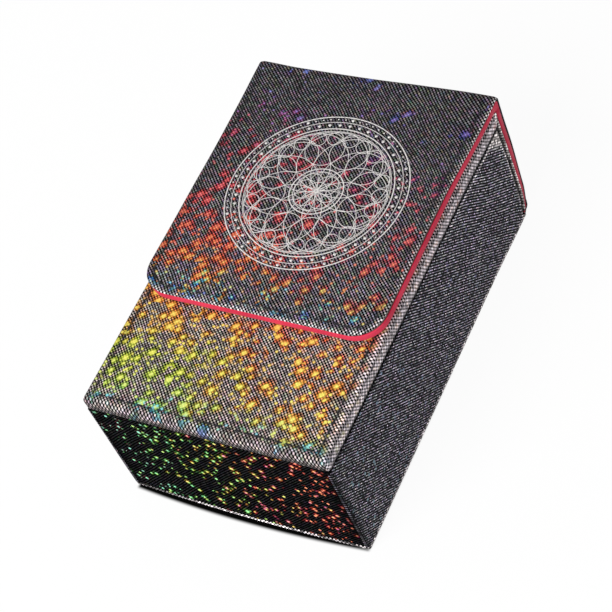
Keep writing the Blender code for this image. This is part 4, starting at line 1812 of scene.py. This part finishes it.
@dataclass
class Stitching:
    """Rows of black stitches, each one a short thread pulled into the leather."""

    finishes: Finishes
    length: float = 2.5 * MM
    pitch: float = 3.3 * MM
    width: float = 0.8 * MM
    height: float = 0.34 * MM
    flap_sink: float = 0.13 * MM
    front_sink: float = 0.12 * MM
    side_sink: float = 0.30 * MM

    def build(self, flat: Flat) -> None:
        """Sews the flap, the front and both side panels.

        Args:
            flat: the laid-out leather.
        """
        self.flap_row(flat)
        self.front_row()
        for name, side in SIDES:
            self.side_row(name, side)

    def row(
        self,
        node: str,
        body: Body,
        path: Sequence[Vector],
        normal: Vector,
        spread: Callable[[Vector], float],
    ) -> None:
        """Sews a row along a path.

        Args:
            node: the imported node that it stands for.
            body: what it rides on.
            path: the points that the row follows.
            normal: the way that the leather faces.
            spread: how far the leather carries a point along X.
        """
        work = bmesh.new()
        total = sum((second - first).length for first, second in zip(path, path[1:]))
        count = max(round(total / self.pitch), 1)
        for index in range(count):
            place, way = self.along(path, (index + 0.5) * total / count)
            across = normal.cross(way).normalized()
            turn = Matrix((way, across, normal)).transposed().to_4x4()
            size = Matrix.Diagonal((self.length / 2, self.width / 2, self.height / 2, 1))
            bmesh.ops.create_uvsphere(
                work,
                u_segments=8,
                v_segments=6,
                radius=1.0,
                matrix=Matrix.Translation(place) @ turn @ size @ Matrix.Rotation(math.pi / 2, 4, "Y"),
            )
        carry(work, spread)
        piece = to_piece(work, node.replace("_stitching", "_stitches"), self.finishes.thread, Slot.THREAD)
        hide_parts(node)
        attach(piece, body.value)

    def along(self, path: Sequence[Vector], way: float) -> tuple[Vector, Vector]:
        """A point and a direction at a distance along a path.

        Args:
            path: the points of the path.
            way: the distance from its start.

        Returns:
            The point and the unit direction.
        """
        for first, second in zip(path, path[1:]):
            step = (second - first).length
            if way <= step:
                break
            way -= step
        direction = (second - first).normalized()
        return first + direction * way, direction

    def flap_row(self, flat: Flat) -> None:
        """The row round the flap, beside its left, lower and right edges.

        Args:
            flat: the laid-out leather.
        """
        inset = LidCover.stitch_inset
        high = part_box("flap_stitching")[1]
        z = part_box("flap_skin")[1].z - self.flap_sink
        half, radius = flat.half - inset, flat.corner - inset
        base = flat.low + inset
        path = [Vector((-half, high.y, z))]
        for centre, start in ((radius - half, 180), (half - radius, 270)):
            for step in range(11):
                angle = math.radians(start + 9 * step)
                x, y = centre + radius * math.cos(angle), base + radius + radius * math.sin(angle)
                path.append(Vector((x, y, z)))
        path.append(Vector((half, high.y, z)))
        self.row(
            "flap_stitching",
            Body.FLAP,
            path,
            FRONT,
            lambda p: spread_lid(p) - 0.8 * MM * smooth_step(-p.x, 28 * MM, 37 * MM),
        )

    def front_row(self) -> None:
        """The row on the front wall."""
        low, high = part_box("front_stitching")
        z = high.z - self.front_sink
        x, y = high.x - 0.25 * MM, low.y + 0.25 * MM
        path = [Vector(p) for p in ((-x, high.y, z), (-x, y, z), (x, y, z), (x, high.y, z))]

        def spread(point: Vector) -> float:
            """The way along X, with the left row set further out."""
            further = 0.4 * MM * smooth_step(-point.x, 34 * MM, 37 * MM)
            return spread_body(point, BodyCover.spread_from) - further

        self.row("front_stitching", Body.BOX, path, FRONT, spread)

    def side_row(self, name: str, side: int) -> None:
        """The row along a side panel's front and top edges.

        Args:
            name: left or right.
            side: -1 or 1.
        """
        low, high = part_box(f"{name}_stitching")
        x = side * (max(abs(low.x), abs(high.x)) - self.side_sink)
        y, z = high.y, high.z - 0.35 * MM
        path = [Vector(p) for p in ((x, low.y, z), (x, y, z), (x, y, low.z))]
        self.row(f"{name}_stitching", Body.BOX, path, RIGHT * side, lambda p: side * bulge(p))


@dataclass
class Rosette:
    """A round ornament of rings and overlapping circles, stamped in silver foil on the flap."""

    finishes: Finishes
    centre: tuple[float, float] = (0.0, 19.5 * MM)
    radius: float = 29.2 * MM
    bold: float = 0.36 * MM
    fine: float = 0.20 * MM
    layer: float = 0.0
    layer_step: float = 0.002 * MM
    above: float = 0.05 * MM
    thickness: float = 0.04 * MM

    def ring(self, work: Mesh, angle: float, reach: float, radius: float, width: float) -> None:
        """Draws one circle line.

        Args:
            work: the mesh.
            angle: its centre's direction from the middle.
            reach: its centre's distance from the middle.
            radius: its radius.
            width: the line's width.
        """
        steps = max(24, round(radius / MM * 5))
        at = Matrix.Rotation(angle, 4, "Z") @ Matrix.Translation((reach, 0, self.layer))
        found = []
        for size in (radius + width / 2, radius - width / 2):
            circle = bmesh.ops.create_circle(work, cap_ends=False, radius=size, segments=steps, matrix=at)
            found += circle["verts"]
        edges = list({edge for vertex in found for edge in vertex.link_edges})
        bmesh.ops.bridge_loops(work, edges=edges)
        self.layer += self.layer_step

    def bead(self, work: Mesh, angle: float, reach: float, radius: float, steps: int = 8) -> None:
        """Draws one filled dot or diamond.

        Args:
            work: the mesh.
            angle: its direction from the middle.
            reach: its distance from the middle.
            radius: its radius.
            steps: its corners.
        """
        at = Matrix.Rotation(angle, 4, "Z") @ Matrix.Translation((reach, 0, self.layer))
        bmesh.ops.create_circle(work, cap_ends=True, radius=radius, segments=steps, matrix=at)

    def build(self, flat: Flat, cover: LidCover) -> None:
        """Draws the ornament and lays it on the flap's leather.

        Args:
            flat: the laid-out leather.
            cover: the lid, whose relief the print follows.
        """
        work = bmesh.new()
        full = self.radius
        rims = ((1.0, self.bold), (0.925, self.fine), (0.84, self.bold), (0.80, self.fine))
        heart = ((0.30, self.bold), (0.26, self.fine), (0.12, self.fine))
        for share, width in (*rims, *heart):
            self.ring(work, 0, 0, full * share - width / 2, width)
        for index in range(72):
            self.bead(work, math.tau * index / 72, full * 0.96, 0.28 * MM if index % 6 else 0.5 * MM)
        for index in range(48):
            self.bead(work, math.tau * index / 48, full * 0.882, 0.62 * MM, 4)
        petals, links, arches = (12, 0, 0.40, 0.385), (24, 0.5, 0.70, 0.085), (12, 0.5, 0.56, 0.22)
        for count, turn, reach, size in (petals, links, arches):
            for index in range(count):
                self.ring(work, math.tau * (index + turn) / count, full * reach, full * size, self.fine)
        for index in range(8):
            self.ring(work, math.tau * index / 8, full * 0.13, full * 0.12, self.fine)
        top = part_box("flap_skin")[1].z
        for vertex in work.verts:
            vertex.co.x += self.centre[0]
            vertex.co.y += self.centre[1]
            vertex.co.z += top + cover.relief(flat, Vector((vertex.co.x, vertex.co.y, 0))) + self.above
        bmesh.ops.recalc_face_normals(work, faces=work.faces)
        piece = to_piece(work, "flap_foil_rosette", self.finishes.foil, Slot.LEATHER)
        thicken(piece, self.thickness)
        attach(piece, Body.FLAP.value)


@dataclass
class Inside:
    """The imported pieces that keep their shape: boards, wall linings and magnets."""

    finishes: Finishes

    def dress(self, nodes: dict[str, bpy.types.Object]) -> None:
        """Gives each kept piece its finish.

        Args:
            nodes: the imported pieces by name.
        """
        for name, node in nodes.items():
            if name.endswith("_lining"):
                finish = self.finishes.lining
            elif name.endswith("_board"):
                finish = self.finishes.board
            elif "_magnet_" in name:
                finish = self.finishes.magnet
            else:
                continue
            node.data.materials.clear()
            node.data.materials.append(finish)
            LOG.info("%s: dressed", name)


@dataclass
class Studio:
    """A white floor, soft light and the camera."""

    camera_at: Point = (0.264081, -0.264221, 0.481461)
    right: Point = (0.870758, 0.408428, -0.273802)
    down: Point = (0.195414, -0.798412, -0.569519)
    forward: Point = (-0.451214, 0.442408, -0.775036)
    lens: float = 112.777
    sensor: float = 36.0
    clip: Span = (0.01, 50.0)
    key_at: Point = (-0.40, -1.65, 1.35)
    key_size: float = 1.5
    key_power: float = 57.0
    floor_size: float = 4.0
    floor_drop: float = 0.3 * MM
    floor_glow: float = 0.94
    contact: float = 2.6 * MM
    sky: float = 0.42

    def build(self) -> None:
        """Sets up the stage."""
        self.floor()
        self.world()
        self.lamp("key", self.key_at, self.key_size, self.key_power)
        self.camera()
        bpy.context.scene.view_settings.view_transform = "Standard"

    def floor(self) -> None:
        """A broad white floor that keeps the box's shadow, darkest where the box touches it."""
        work = bmesh.new()
        bmesh.ops.create_grid(work, x_segments=1, y_segments=1, size=self.floor_size)
        bmesh.ops.translate(work, vec=(0, 0, -self.floor_drop), verts=work.verts)
        mesh = bpy.data.meshes.new("floor")
        work.to_mesh(mesh)
        work.free()
        floor = put("floor", mesh)
        material, tree = new_tree("white_paper")
        paper = add(tree, "BsdfDiffuse", linear("f4f4f4"))
        dark = self.contact_shadow(tree)
        tone = add(tree, "Mix", dark, WHITE, linear("060606"), data_type="RGBA")
        glow = add(tree, "Emission", tone, 1.0)
        seen = self.plainly_seen(tree)
        kept = add(tree, "MapRange", dark, 0.0, 1.0, self.floor_glow, 1.0)
        share = add(tree, "Math", seen, kept, operation="MULTIPLY")
        add(tree, "OutputMaterial", add(tree, "MixShader", share, paper, glow))
        mesh.materials.append(material)

    def contact_shadow(self, tree: Tree) -> Node:
        """The dark line under the box's lower end, broadest near its middle.

        Args:
            tree: the floor's node tree.

        Returns:
            How dark the floor is, 0 in the open and 1 under the edge.
        """
        low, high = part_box("back_skin")
        axes = add(tree, "SeparateXYZ", add(tree, "TexCoord").outputs["Object"])
        across = add(tree, "Math", axes.outputs[0], 4 * MM, operation="ADD")
        off_middle = add(tree, "Math", across, 48 * MM, operation="DIVIDE")
        bow = add(tree, "Math", off_middle, 2.0, operation="POWER")
        beyond = add(tree, "Math", low.y, axes.outputs[1], operation="SUBTRACT")
        widths = add(tree, "Math", beyond, self.contact, operation="DIVIDE")
        gap = add(tree, "Math", widths, 0.0, operation="MAXIMUM")
        reach = add(tree, "Math", gap, bow, operation="ADD")
        line = add(tree, "MapRange", reach, 1.16, 0.66, interpolation_type="SMOOTHSTEP")
        side = add(tree, "Math", axes.outputs[0], operation="ABSOLUTE")
        limits = (high.x + 0.6 * MM, high.x - 0.8 * MM)
        ends = add(tree, "MapRange", side, *limits, interpolation_type="SMOOTHSTEP")
        lower = add(tree, "Math", axes.outputs[1], 0.0, operation="LESS_THAN")
        ended = add(tree, "Math", line, ends, operation="MULTIPLY")
        return add(tree, "Math", ended, lower, operation="MULTIPLY")

    def world(self) -> None:
        """An even pale sky, plain white where the camera sees it."""
        world = bpy.data.worlds.new("studio")
        bpy.context.scene.world = world
        world.use_nodes = True
        tree = world.node_tree
        tree.nodes.clear()
        strength = add(tree, "MapRange", self.plainly_seen(tree), 0.0, 1.0, self.sky, 1.0)
        add(tree, "OutputWorld", add(tree, "Background", WHITE, strength))

    def plainly_seen(self, tree: Tree) -> Node:
        """Tells the rays that see the plain white, straight or in metal and glass, from those that light.

        Args:
            tree: the floor's or the world's node tree.

        Returns:
            1 for a camera, glossy or transmission ray, and 0 for any other.
        """
        ray = add(tree, "LightPath")
        ways = [ray.outputs[f"Is {kind} Ray"] for kind in ("Camera", "Glossy", "Transmission")]
        straight = add(tree, "Math", ways[0], ways[1], operation="MAXIMUM")
        return add(tree, "Math", straight, ways[2], operation="MAXIMUM")

    def lamp(self, name: str, place: Point, size: float, power: float) -> None:
        """A soft square lamp that looks at the box.

        Args:
            name: the lamp's name.
            place: where it hangs.
            size: its side.
            power: its watts.
        """
        data = bpy.data.lights.new(name, "AREA")
        data.shape = "SQUARE"
        data.size = size
        data.energy = power
        lamp = put(name, data)
        lamp.location = place
        lamp.rotation_mode = "QUATERNION"
        lamp.rotation_quaternion = (-Vector(place)).to_track_quat("-Z", "Y")

    def camera(self) -> None:
        """The camera, where the photograph was taken from."""
        data = bpy.data.cameras.new("camera")
        data.lens = self.lens
        data.sensor_width = self.sensor
        data.sensor_fit = "HORIZONTAL"
        data.clip_start, data.clip_end = self.clip
        camera = put("camera", data)
        turn = Matrix((self.right, -Vector(self.down), -Vector(self.forward))).transposed()
        camera.matrix_world = Matrix.Translation(self.camera_at) @ turn.to_4x4()
        bpy.context.scene.camera = camera


def main() -> None:
    """Builds the dressed box and its studio."""
    logging.basicConfig(level=logging.INFO)
    for old in list(bpy.data.objects):
        bpy.data.objects.remove(old)
    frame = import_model()
    finishes = Finishes()
    Inside(finishes).dress(frame["nodes"])
    BodyCover(finishes).build()
    lid = LidCover(finishes)
    flat = lid.build()
    Stitching(finishes).build(flat)
    Rosette(finishes).build(flat, lid)
    Studio().build()
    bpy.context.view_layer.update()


if __name__ == "__main__":
    main()
